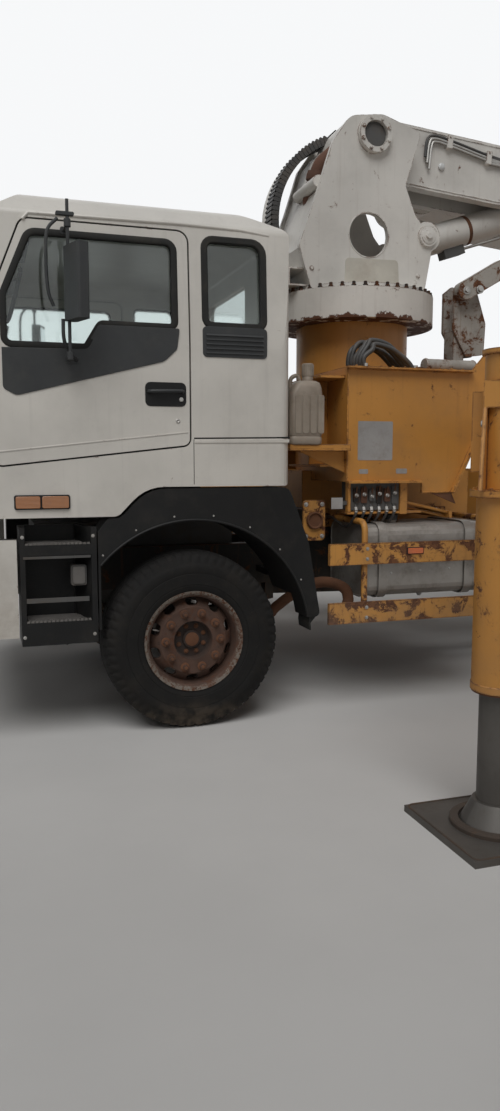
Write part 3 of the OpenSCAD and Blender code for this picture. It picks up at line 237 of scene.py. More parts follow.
MAT = {
    "white": painted("white_paint", (0.67, 0.64, 0.585), 0.38, 0.10, 0.10, 0.12, 0.07, 1.5, 0.4),
    "boom_white": painted("boom_paint", (0.68, 0.655, 0.61), 0.46, 0.42, 0.16, 0.17, 0.12, 0.3, 0.1),
    "ring_white": painted("ring_paint", (0.68, 0.65, 0.60), 0.46, 0.42, 0.16, 0.17, 0.12, 0.3, 0.1, 2.58),
    "leg_yellow": painted("leg_paint", (0.52, 0.235, 0.045), 0.5, 0.75, 0.2, 0.24, 0.16, 0.6, 0.1, 0.63),
    "boom_worn": painted("boom_worn_paint", (0.36, 0.335, 0.30), 0.6, 1.25, 0.25, 0.6, 0.5, 0.3, 0.0),
    "yellow": painted("yellow_paint", (0.52, 0.235, 0.045), 0.5, 0.60, 0.16, 0.24, 0.16, 0.9, 0.1),
    "yellow_worn": painted("yellow_worn_paint", (0.55, 0.26, 0.055), 0.55, 1.45, 0.25, 0.30, 0.25, 0.9, 0.05),
    "frame_black": painted("frame_paint", (0.022, 0.021, 0.020), 0.6, 0.8, 0.14, 0.4, 0.3, 1.0, 0.0,
                           Specular_IOR_Level=0.2),
    "black": plain("black_plastic", (0.011, 0.011, 0.011), 0.5, dirt=0.16, tint=(0.07, 0.062, 0.052),
        Specular_IOR_Level=0.2),
    "leg": plain("leg_steel", (0.085, 0.078, 0.070), 0.48, 0.4, 24, 0.45, (0.06, 0.045, 0.032)),
    "foot": plain("foot_steel", (0.042, 0.030, 0.022), 0.85, 0.0, 16, 0.7, (0.10, 0.055, 0.028), 0.6),
    "tread": plain("worn_tread", (0.15, 0.14, 0.13), 0.55, 0.5, 45, 0.5, (0.07, 0.06, 0.05)),
    "trim": plain("black_trim", (0.035, 0.037, 0.038), 0.42, dirt=0.2, tint=(0.10, 0.095, 0.085),
                  Specular_IOR_Level=0.3),
    "rubber": plain("black_rubber", (0.018, 0.018, 0.017), 0.75, dirt=0.3, tint=(0.08, 0.07, 0.055),
                    Specular_IOR_Level=0.25),
    "steel": plain("bare_steel", (0.36, 0.35, 0.33), 0.42, 0.85, 30, 0.35, (0.13, 0.09, 0.06)),
    "chrome": plain("rod_chrome", (0.62, 0.62, 0.62), 0.16, 1.0, 30, 0.12, (0.25, 0.22, 0.18), 0.03),
    "alu": plain("tread_aluminium", (0.42, 0.42, 0.41), 0.45, 0.7, 45, 0.4, (0.16, 0.14, 0.12)),
    "cast": plain("cast_grey", (0.085, 0.083, 0.08), 0.7, 0.2, 40, 0.5, (0.09, 0.06, 0.035)),
    "rim": plain("rusty_rim", (0.105, 0.045, 0.025), 0.8, 0.1, 22, 0.75, (0.035, 0.022, 0.016), 0.6),
    "rusty": plain("rusty_steel", (0.13, 0.055, 0.026), 0.88, 0.0, 18, 0.7, (0.05, 0.025, 0.015), 0.6),
}


def clear(name, colour, rough=0.12):
    """Clear or tinted lens over a ribbed base."""
    s = Surface(name, colour, rough, Coat_Weight=0.8, Coat_Roughness=0.08)
    s.stain((9, 8, 0.55), 0.5, 0.8, 0.35, GRIME, 0.6)
    s.raise_by(s.wave("Z", 45), 0.9)
    return s.done()


def cloth(name, base):
    """Woven seat cover."""
    s = Surface(name, base, 0.9, Sheen_Weight=0.4)
    for direction in ("X", "Z"):
        s.raise_by(s.wave(direction, 320, 1.5), 0.35)
    s.vary(0.15, 6)
    s.stain((4, 8, 0.55), 0.5, 0.8, 0.4, (0.09, 0.08, 0.07))
    return s.done()


def wheel_paint(name, x, base, lip):
    """Rusty rim with a pale painted highlight on its outer lip, round an axle at x."""
    s = Surface(name, base, 0.82)
    s.vary(0.2, 9)
    away = s.maths("POWER", s.maths("SUBTRACT", s.axis(0), x), 2.0)
    up = s.maths("POWER", s.maths("SUBTRACT", s.axis(2), AXLE_Z), 2.0)
    radius = s.maths("SQRT", s.maths("ADD", away, up))
    ragged_radius = s.maths("ADD", radius, s.ramp(s.noise(26, 8, 0.7), 0.2, 0.8, -0.012, 0.012))
    # pale painted highlight along the outer lip, then rust spots on that lip
    s.layer(s.ramp(ragged_radius, 0.272, 0.282), lip, 0.7)
    s.layer(s.maths("MULTIPLY", s.ramp(ragged_radius, 0.272, 0.282), s.ramp(s.noise(60, 8, 0.75), 0.5, 0.56)), RUST,
        0.9)
    s.stain((14, 10, 0.7), 0.52, 0.62, 0.7, RUST, 0.9, -0.5)
    s.stain((30, 10, 0.75), 0.58, 0.66, 0.8, (0.028, 0.018, 0.013), 0.9, -0.6)
    s.layer(s.ramp(radius, 0.125, 0.105, 0, 0.75), (0.012, 0.010, 0.009), 0.8)
    s.raise_by(s.noise(190, 3), 0.5)
    return s.done()


def tread_plate(name, base):
    """Yellow deck with raised bars in two crossed directions."""
    s = Surface(name, base, 0.55)
    s.vary(0.1, 2)
    checks = s.node("ShaderNodeTexChecker")
    s.link(s.coords, checks.inputs["Vector"])
    checks.inputs["Scale"].default_value = 32
    bars = [s.ramp(s.wave(direction, 10.2), 0.62, 0.8) for direction in ("X", "Y")]
    other = s.maths("SUBTRACT", 1.0, checks.outputs["Fac"])
    pattern = s.maths("ADD", s.maths("MULTIPLY", bars[0], checks.outputs["Fac"]),
        s.maths("MULTIPLY", bars[1], other))
    s.stain((6, 9, 0.65), 0.45, 0.7, 0.7, DUST, 0.85)
    s.stain((12, 10, 0.7), 0.6, 0.66, 1.0, RUST, 0.9)
    s.layer(s.maths("MULTIPLY", pattern, 0.5), (0.30, 0.24, 0.17))
    s.raise_by(pattern, 2.0)
    return s.done()


def tyre_rubber(name, base):
    """Tyre rubber: brown dust on the walls and in the grooves."""
    s = Surface(name, base, 0.78, Specular_IOR_Level=0.2)
    s.vary(0.15, 6)
    s.stain((5, 9, 0.65), 0.45, 0.75, 0.25, (0.05, 0.042, 0.034), 0.9)
    s.stain((38, 8, 0.7), 0.58, 0.75, 0.2, (0.09, 0.075, 0.06), 0.95)
    s.layer(s.maths("MULTIPLY", s.ramp(s.axis(2), 0.22, 0.0, 0, 0.35), s.ramp(s.noise(12, 6), 0.35, 0.65)),
        DUST, 0.95)
    s.raise_by(s.noise(320, 2), 0.15)
    return s.done()


MAT.update({
    "tyre": tyre_rubber("tyre_rubber", (0.010, 0.0095, 0.009)),
    "can": plain("can_plastic", (0.30, 0.25, 0.20), 0.5, grain=35, dirt=0.45, tint=(0.13, 0.10, 0.07),
        Subsurface_Weight=0.05),
    "tank": plain("galvanised", (0.30, 0.28, 0.255), 0.48, 0.55, 16, 0.6, (0.14, 0.12, 0.10), 0.4),
    "label": plain("blank_label", (0.34, 0.33, 0.32), 0.5, dirt=0.45, tint=(0.16, 0.12, 0.08)),
    "hose": plain("hose_rubber", (0.035, 0.034, 0.033), 0.5, grain=90, dirt=0.5, tint=(0.15, 0.12, 0.095)),
    "bare_patch": plain("patched_paint", (0.60, 0.565, 0.49), 0.5, grain=30, dirt=0.22,
        tint=(0.20, 0.10, 0.05)),
    "silver": plain("mirror_silver", (0.75, 0.77, 0.78), 0.04, 1.0, 30, 0.05),
    "amber": clear("amber_lens", (0.42, 0.17, 0.06)),
    "orange": clear("orange_reflector", (0.62, 0.13, 0.02)),
    "red": clear("red_lens", (0.42, 0.02, 0.015)),
    "lens": clear("clear_lens", (0.62, 0.63, 0.62), 0.08),
    "seat": cloth("seat_cloth", (0.14, 0.145, 0.155)),
    # the last colour of each rim is the pale painted highlight on its lip
    "rim_front": wheel_paint("rim_front", FA, (0.075, 0.040, 0.027), (0.17, 0.145, 0.12)),
    "rim_1": wheel_paint("rim_rear_1", REAR[0], (0.075, 0.040, 0.027), (0.15, 0.13, 0.11)),
    "rim_2": wheel_paint("rim_rear_2", REAR[1], (0.075, 0.040, 0.027), (0.15, 0.13, 0.11)),
    "chequer": tread_plate("chequer_plate", (0.42, 0.20, 0.05)),
})


# Forms
def rounded(corners, steps=5):
    """Outline of (x, y, radius) corners with their arcs."""
    out = []
    for i, (x, y, r) in enumerate(corners):
        corner = Vector((x, y))
        if not r:
            out.append(corner)
            continue
        a = (Vector(corners[i - 1][:2]) - corner).normalized()
        b = (Vector(corners[(i + 1) % len(corners)][:2]) - corner).normalized()
        half = a.angle(b) / 2
        centre = corner + (a + b).normalized() * (r / math.sin(half))
        start = corner + a * (r / math.tan(half)) - centre
        end = corner + b * (r / math.tan(half)) - centre
        turn = start.angle(end)
        for k in range(steps + 1):
            t = k / steps
            out.append(centre + (start * math.sin((1 - t) * turn)
                + end * math.sin(t * turn)) / math.sin(turn))
    return out


def slab(x0, z0, x1, z1, r, steps=5):
    return rounded([(x0, z0, r), (x1, z0, r), (x1, z1, r), (x0, z1, r)], steps)


def side_outline(*corners):
    """Outline of (x, z, radius) corners, with x counted from the front axle."""
    return rounded([(FA + x, z, r) for x, z, r in corners])


def around(centre, u, v, r, count, start=0.0):
    """Places on a circle whose plane holds the directions u and v."""
    centre, u, v = Vector(centre), Vector(u), Vector(v)
    turns = [start + math.tau * k / count for k in range(count)]
    return [centre + (u * math.cos(a) + v * math.sin(a)) * r for a in turns]


def smooth(points, steps=6):
    """Smooth line through the points."""
    p = [Vector(q) for q in points]
    p = [p[0] * 2 - p[1]] + p + [p[-1] * 2 - p[-2]]
    out = []
    for i in range(1, len(p) - 2):
        for k in range(steps):
            t = k / steps
            out.append(0.5 * (2 * p[i] + (p[i + 1] - p[i - 1]) * t
                              + (2 * p[i - 1] - 5 * p[i] + 4 * p[i + 1] - p[i + 2]) * t * t
                              + (3 * p[i] - p[i - 1] - 3 * p[i + 1] + p[i + 2]) * t ** 3))
    return out + [p[-2]]


class Piece:
    """One named piece, gathered from closed forms that each carry a material."""

    def __init__(self, name, body="root", side=1):
        self.name, self.body, self.side = name, body, side
        self.points, self.faces, self.paints, self.slots = [], [], [], []
        self.paint = 0

    def use(self, key):
        if key not in self.slots:
            self.slots.append(key)
        self.paint = self.slots.index(key)
        return self

    def add(self, points, faces):
        start = len(self.points)
        self.points += [(p[0], p[1] * self.side, p[2]) for p in points]
        self.faces += [[start + i for i in face] for face in faces]
        self.paints += [self.paint] * len(faces)

    def rings(self, rings, closed=False):
        """Skin over rings of equal length, with end caps unless the last joins the first."""
        n = len(rings[0])
        faces = []
        for k in range(len(rings) if closed else len(rings) - 1):
            a, b = k * n, (k + 1) % len(rings) * n
            faces += [[a + i, a + (i + 1) % n, b + (i + 1) % n, b + i] for i in range(n)]
        if not closed:
            faces += [list(range(n)), list(range((len(rings) - 1) * n, len(rings) * n))]
        self.add([p for ring in rings for p in ring], faces)

    def prism(self, outline, axis, low, high):
        place = (lambda u, v, d: (d, u, v), lambda u, v, d: (u, d, v), lambda u, v, d: (u, v, d))[axis]
        self.rings([[place(p[0], p[1], d) for p in outline] for d in (low, high)])

    def box(self, low, high):
        self.prism([(low[0], low[1]), (high[0], low[1]), (high[0], high[1]), (low[0], high[1])], 2, low[2],
            high[2])

    def block(self, x0, y0, z0, x1, y1, z1):
        """Box counted from the front axle."""
        self.box(at(x0, y0, z0), at(x1, y1, z1))

    def lathe(self, base, axis, profile, sides=32, closed=False):
        """Turns (distance along the axis, radius) pairs; radius 0 makes a point, closed makes a ring."""
        base, axis = Vector(base), Vector(axis).normalized()
        u = axis.orthogonal().normalized()
        v = axis.cross(u)
        self.rings([[base + axis * d + (u * math.cos(math.tau * k / sides)
            + v * math.sin(math.tau * k / sides)) * max(r, 1e-5) for k in range(sides)]
            for d, r in profile], closed)

    def rod(self, a, b, r, sides=16, bevel=0.0):
        a, b = Vector(a), Vector(b)
        l = (b - a).length
        profile = [(0, r), (l, r)]
        if bevel:
            profile = [(0, r - bevel), (bevel, r), (l - bevel, r), (l, r - bevel)]
        self.lathe(a, b - a, profile, sides)

    def hexagon(self, base, axis, r, height):
        """Bolt head or nut with its washer."""
        self.lathe(base, axis, [(0, r * 1.5), (height * 0.22, r * 1.5)], 14)
        self.lathe(base, axis, [(0, r), (height * 0.85, r), (height, r * 0.85)], 6)

    def bolts(self, places, axis, r, height):
        for place in places:
            self.hexagon(place, axis, r, height)

    def collar(self, base, axis, r, width, chamfer=0.004, sides=40):
        """Solid disc or band with chamfered edges."""
        self.lathe(base, axis, [(0, r - chamfer), (chamfer, r), (width - chamfer, r), (width, r - chamfer)],
            sides)

    def hoop(self, base, axis, inner, outer, width, sides=48):
        self.lathe(base, axis, [(0, inner), (0, outer), (width, outer), (width, inner)], sides, True)

    def guard(self, base, inner, outer, height):
        """Ring round a leg whose upper edge slopes."""
        self.lathe(base, Z_AXIS, [(0, inner), (0, outer), (height - 0.004, outer), (height, inner)], 48, True)

    def coupling(self, c, axis, bore, lip, top):
        """Clamp coupling on a delivery pipe."""
        half = [(0.030, bore), (0.030, lip), (0.010, top)]
        self.lathe(c, axis, [(-d, r) for d, r in half] + [(d, r) for d, r in reversed(half)], 28)

    def tube(self, path, r, sides=10, closed=False):
        path = [Vector(p) for p in path]
        n = len(path)
        side = None
        rings = []
        for i, p in enumerate(path):
            before = path[i - 1] if i or closed else p
            after = path[(i + 1) % n] if i < n - 1 or closed else p
            along = (after - before).normalized()
            side = along.orthogonal() if side is None else side - along * side.dot(along)
            side.normalize()
            other = along.cross(side)
            rings.append([p + (side * math.cos(math.tau * k / sides)
                + other * math.sin(math.tau * k / sides)) * r for k in range(sides)])
        self.rings(rings, closed)

    def run(self, points, r, sides=10, steps=6):
        """Smooth tube through places counted from the front axle."""
        self.tube(smooth([at(*p) for p in points], steps), r, sides)

    def profile(self, outline, y0, y1):
        """Prism over (x, z) points, with x counted from the front axle."""
        self.prism([(FA + x, z) for x, z in outline], 1, y0, y1)

    def plate(self, x0, z0, x1, z1, r, y0, y1):
        self.prism(slab(FA + x0, z0, FA + x1, z1, r), 1, y0, y1)

    def band(self, outline, section, skin):
        """Strip along a closed outline in the side's plane; section is (offset outwards, height)."""
        n = len(outline)
        area = sum(outline[i - 1][0] * p[1] - p[0] * outline[i - 1][1] for i, p in enumerate(outline))
        turn = 1 if area > 0 else -1
        rings = []
        for i, p in enumerate(outline):
            a = (p - outline[i - 1]).normalized()
            b = (outline[(i + 1) % n] - p).normalized()
            out = Vector((a[1] + b[1], -a[0] - b[0])) * turn
            out = out.normalized() / max(0.5, math.sqrt(max(0.0, (1 + a.dot(b)) / 2)))
            rings.append([])
            for offset, height in section:
                q = p + out * offset
                rings[-1].append((q[0], skin(q[1]) + height, q[1]))
        self.rings(rings, True)

    def copy_islands(self, node, wanted):
        """Islands of a CAD node's mesh that the test on their points accepts."""
        bm = bmesh.new()
        bm.from_mesh(NODES[node].data)
        bmesh.ops.remove_doubles(bm, verts=bm.verts, dist=1e-5)
        bm.verts.index_update()
        seen = set()
        for first in bm.verts:
            if first.index in seen:
                continue
            stack, island = [first], []
            seen.add(first.index)
            while stack:
                v = stack.pop()
                island.append(v)
                for edge in v.link_edges:
                    other = edge.other_vert(v)
                    if other.index not in seen:
                        seen.add(other.index)
                        stack.append(other)
            if wanted([v.co for v in island]):
                number = {v.index: k for k, v in enumerate(island)}
                faces = {f for v in island for f in v.link_faces}
                side, self.side = self.side, 1
                self.add([v.co for v in island], [[number[v.index] for v in f.verts]
                    for f in sorted(faces, key=lambda f: f.index)])
                self.side = side
        bm.free()

    def done(self, bevel=0.0, sharp=35, replaces=()):
        mesh = bpy.data.meshes.new(self.name)
        mesh.from_pydata(self.points, [], self.faces)
        for key in self.slots:
            mesh.materials.append(MAT[key])
        mesh.polygons.foreach_set("material_index", self.paints)
        bm = bmesh.new()
        bm.from_mesh(mesh)
        bmesh.ops.remove_doubles(bm, verts=bm.verts, dist=5e-6)
        bmesh.ops.recalc_face_normals(bm, faces=bm.faces)
        bm.to_mesh(mesh)
        bm.free()
        mesh.shade_smooth()
        mesh.set_sharp_from_angle(angle=math.radians(sharp))
        made = bpy.data.objects.new(self.name, mesh)
        bpy.context.scene.collection.objects.link(made)
        if bevel:
            soft = made.modifiers.new("bevel", "BEVEL")
            soft.width = bevel
            soft.segments = 2
            soft.limit_method = "ANGLE"
            soft.angle_limit = math.radians(40)
        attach(made, self.body)
        if replaces:
            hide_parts(*replaces)
        return made


SIDES = (("left", 1), ("right", -1))


def skin(z):
    """Half width of the cab's side at a height."""
    return CAB_HALF - max(0.0, z - SEAM_Z) * 0.04 / 0.675


def at(x, y, z):
    """A place counted from the front axle."""
    return (FA + x, y, z)


def boom(s, h=0.0, y=0.0):
    """A place s behind the main pivot along the folded arms and h above their line."""
    return Vector((PED, y, PIVOT_Z)) - FWD * s + UP_BOOM * h


# Wheels
def tyre_form(piece, x, face, lugs, ribbed):
    """Tyre with rings on its wall, a ribbed or lugged tread and a notched shoulder."""
    wall = [(0.014, 0.286), (0.013, 0.301), (0.007, 0.313), (0.003, 0.334), (0.0052, 0.337), (0.002, 0.341),
            (0.0005, 0.380), (0.0, 0.402), (0.0028, 0.405), (0.001, 0.409), (0.0042, 0.442), (0.007, 0.456),
            (0.0095, 0.4595), (0.0125, 0.467)]
    tread = [(0.021, 0.492, 1), (0.031, 0.517, 1), (0.046, 0.5265, 1)]
    if ribbed:
        for groove in (0.082, 0.128, 0.175, 0.221):
            top = AXLE_Z - abs(groove - TYRE_W / 2) * 0.07
            tread += [(groove, top, 0), (groove + 0.002, top - 0.013, 0), (groove + 0.010, top - 0.013, 0),
                      (groove + 0.012, top, 0)]
    else:
        tread += [(0.112, 0.532, 1), (0.114, 0.531, 0), (0.152, 0.535, 0), (0.163, 0.535, 0),
            (0.201, 0.531, 0), (0.203, 0.532, 1)]
    tread += [(0.269, 0.5265, 1), (0.284, 0.517, 1), (0.294, 0.492, 1)]
    section = [(d, r, 0) for d, r in wall] + tread + [(TYRE_W - d, r, 0) for d, r in reversed(wall)]
    rings = []
    for k in range(lugs):
        for part, (share, cut) in enumerate(((0.0, 1), (0.05, 0), (0.70, 0), (0.75, 1))):
            a = math.tau * (k + share) / lugs
            ring = []
            for d, r, notched in section:
                zig = 0.0045 * (1 if part in (1, 2) else -1) if 0.07 < d < 0.25 else 0
                if notched and cut:
                    r -= 0.006 if ribbed else 0.017
                ring.append((x + r * math.cos(a), face - d - zig, AXLE_Z + r * math.sin(a)))
            rings.append(ring)
    piece.rings(rings, True)


def wheel_bolts(piece, x, face, depth, hub, ring_r):
    """Studs and washers on the wheel nuts, bolts on the hub and the tyre's valve."""
    for c in around((x, face - depth, AXLE_Z), X_AXIS, Z_AXIS, NUT_RING, 10):
        piece.use("rusty").lathe(c, Y_AXIS, [(0, 0.027), (0.004, 0.027), (0.007, 0.022)], 20)
        piece.lathe(c, Y_AXIS, [(0.025, 0.0105), (0.034, 0.0105), (0.036, 0.008)], 12)
    hub_bolts = around((x, face - hub, AXLE_Z), X_AXIS, Z_AXIS, ring_r, 8, math.pi / 8)
    piece.bolts(hub_bolts, Y_AXIS, 0.010, 0.010)
    piece.use("steel").tube(smooth([(x + 0.19, face - 0.075, AXLE_Z + 0.06),
        (x + 0.215, face - 0.045, AXLE_Z + 0.07), (x + 0.245, face - 0.03, AXLE_Z + 0.08)], 4), 0.005, 8)


def wheels():
    for word, side in SIDES:
        made = Piece("front_tyre_" + word, "wheel_front_" + word, side).use("tyre")
        tyre_form(made, FA, FRONT_FACE, 60, True)
        made.done(replaces=["tyre_front_" + word])
        made = Piece("front_wheel_bolts_" + word, "wheel_front_" + word, side)
        wheel_bolts(made, FA, FRONT_FACE, 0.038, 0.094, 0.082)
        made.use("rusty").lathe((FA, 1.128, AXLE_Z), Y_AXIS, [(0, 0.042), (0.004, 0.042), (0.007, 0.036),
            (0.008, 0)], 24)
        made.done()
        for number, x in enumerate(REAR, 1):
            node = "wheels_rear_%d_%s" % (number, word)
            made = Piece("twin_tyres_%d_%s" % (number, word), node, side).use("tyre")
            for face in TWIN_FACES:
                tyre_form(made, x, face, 40, False)
            made.done(replaces=[node])
            made = Piece("twin_rims_%d_%s" % (number, word), node, side).use("rim_%d" % number)
            made.copy_islands(node, lambda points, x=x: max(math.hypot(p.x - x, p.z - AXLE_Z)
                for p in points) < 0.5)
            made.done(replaces=[node])
            made = Piece("twin_wheel_bolts_%d_%s" % (number, word), node, side)
            wheel_bolts(made, x, TWIN_FACES[0], 0.298, 0.112, 0.086)
            made.done()


# Cab
def ring_form(piece, outline, inner, outer, low, high, y_of=skin):
    """Rubber or trim strip round an outline."""
    piece.band(outline, [(-inner, low), (-inner, high * 0.5), (-inner + 0.006, high), (outer - 0.008, high),
                         (outer, high * 0.3), (outer, low)], y_of)


def cab_sides():
    door_window = side_outline((0.10, 2.35, 0.03), (0.52, 2.35, 0.03), (0.60, 2.22, 0.03),
        (1.03, 2.22, 0.04), (1.03, 2.48, 0.10), (0.89, 2.815, 0.06),
        (0.10, 2.815, 0.05))
    door_edge = side_outline((0.02, 1.69, 0.04), (1.10, 1.57, 0.04), (1.10, 2.44, 0.12),
        (0.925, 2.88, 0.06), (0.02, 2.88, 0.06))
    quarter = side_outline((-0.43, 2.37, 0.04), (-0.08, 2.37, 0.04), (-0.08, 2.85, 0.05),
        (-0.43, 2.85, 0.07))
    for word, side in SIDES:
        # door trim
        made = Piece("door_trim_" + word, "door_" + word, side).use("rubber")
        ring_form(made, door_window, 0.016, 0.020, -0.030, 0.007)
        panel = side_outline((1.045, 2.200, 0), (1.045, 1.985, 0.03), (0.975, 1.948, 0.05),
            (0.165, 2.155, 0.07), (0.090, 2.225, 0.04), (0.075, 2.340, 0.01), (0.530, 2.340, 0.02),
            (0.597, 2.228, 0.03), (0.640, 2.205, 0))
        made.use("trim").prism(panel, 1, 1.192, 1.2055)
        made.use("black").plate(0.040, 1.905, 0.277, 2.040, 0.03, 1.193, 1.2035)
        made.use("trim").run([(0.058, 1.200, 1.990), (0.072, 1.222, 1.991), (0.12, 1.232, 1.990),
            (0.20, 1.232, 1.988), (0.246, 1.222, 1.987), (0.260, 1.200, 1.987)], 0.0105, 12)
        made.use("steel").lathe(at(0.070, 1.203, 1.945), Y_AXIS, [(0, 0.013), (0.005, 0.013),
            (0.006, 0.010), (0.004, 0)], 20)
        made.lathe(at(0.089, 1.199, 1.824), Y_AXIS, [(0, 0.014), (0.004, 0.013), (0.005, 0.006),
            (0.002, 0.004)], 20)
        made.use("white").profile([(0.03, 1.758), (1.09, 1.642), (1.09, 1.650), (0.03, 1.766)], 1.196, 1.2035)
        made.done(0.003)
        made = Piece("door_gap_seal_" + word, "cab", side).use("rubber")
        made.band(door_edge, [(0.001, -0.030), (0.001, -0.010), (0.009, -0.010), (0.009, -0.030)], skin)
        made.done()
        # cab side trim
        made = Piece("cab_side_trim_" + word, "cab", side).use("rubber")
        ring_form(made, quarter, 0.018, 0.022, -0.030, 0.009)
        made.use("trim").plate(-0.448, 2.190, -0.060, 2.362, 0.025, 1.188, 1.2055)
        for k in range(5):
            z = 2.212 + 0.025 * k
            made.prism([(1.203, z), (1.2125, z - 0.004), (1.2145, z - 0.001), (1.205, z + 0.010)], 0,
                FA - 0.425, FA - 0.080)
        made.use("black").profile([(-0.594, 1.731), (-0.004, 1.722), (-0.004, 1.732), (-0.594, 1.741)],
            1.195, 1.2006)
        made.use("white").profile([(-0.590, 1.706), (-0.008, 1.700), (-0.008, 1.718), (-0.590, 1.726)],
            1.196, 1.2045)
        made.tube([at(0.918, 1.166, 2.874), at(0.886, 1.160, 2.912), at(0.033, 1.160, 2.922),
            at(-0.30, 1.158, 2.916), at(-0.472, 1.156, 2.898)], 0.010, 8)
        made.use("black").profile([(-0.006, 1.462), (-0.001, 1.462), (-0.001, 1.722), (-0.006, 1.722)],
            1.195, 1.2008)
        made.plate(0.706, 1.332, 1.006, 1.412, 0.012, 1.195, 1.2085)
        made.use("amber").plate(0.714, 1.339, 0.858, 1.405, 0.010, 1.205, 1.2185)
        made.plate(0.868, 1.339, 0.998, 1.405, 0.010, 1.205, 1.2185)
        made.done(0.003)


def mirrors():
    for word, side in SIDES:
        made = Piece("mirror_parts_" + word, "door_" + word, side).use("trim")
        # bent carrier, brackets on the door, foot clamps and the glass faces
        made.run([(0.752, 1.330, 2.850), (0.805, 1.345, 2.780), (0.815, 1.352, 2.640),
            (0.808, 1.350, 2.480), (0.780, 1.345, 2.400)], 0.009, 10)
        made.run([(0.733, 1.330, 2.340), (0.729, 1.325, 2.231), (0.691, 1.280, 2.171),
            (0.655, 1.215, 2.141)], 0.010, 10)
        made.rod(at(0.700, 1.330, 2.870), at(0.700, 1.330, 2.950), 0.0088, 12)
        made.plate(0.665, 2.866, 0.760, 2.884, 0.008, 1.315, 1.345)
        for x0, x1, z0, z1 in ((0.678, 0.722, 2.812, 2.850), (0.634, 0.712, 2.126, 2.172)):
            made.plate(x0, z0, x1, z1, 0.010, skin(z0) - 0.006, skin(z0) + 0.010)
            for x in (x0 + 0.012, x1 - 0.012):
                made.hexagon(at(x, skin(z0) + 0.010, (z0 + z1) / 2), Y_AXIS, 0.005, 0.005)
        for z in (2.150, 2.830):
            made.lathe(at(0.700, 1.330, z - 0.022), Z_AXIS, [(0, 0.015), (0.003, 0.018), (0.041, 0.018),
                (0.044, 0.015)], 16)
        for z0, z1 in ((2.350, 2.520), (2.536, 2.692)):
            outline = [(1.345, z0), (1.475, z0 + 0.004), (1.475, z1 - 0.004), (1.345, z1)]
            turn = math.radians(20)
            ring = []
            for depth in (-0.010, -0.0135):
                ring.append([])
                for y, z in outline:
                    u, v = -0.065 + depth + 0.012, y - 1.330
                    ring[-1].append((FA + 0.720 + u * math.cos(turn) - v * math.sin(turn),
                        1.330 + u * math.sin(turn) + v * math.cos(turn), z))
            made.use("silver").rings(ring)
        made.done(0.002)


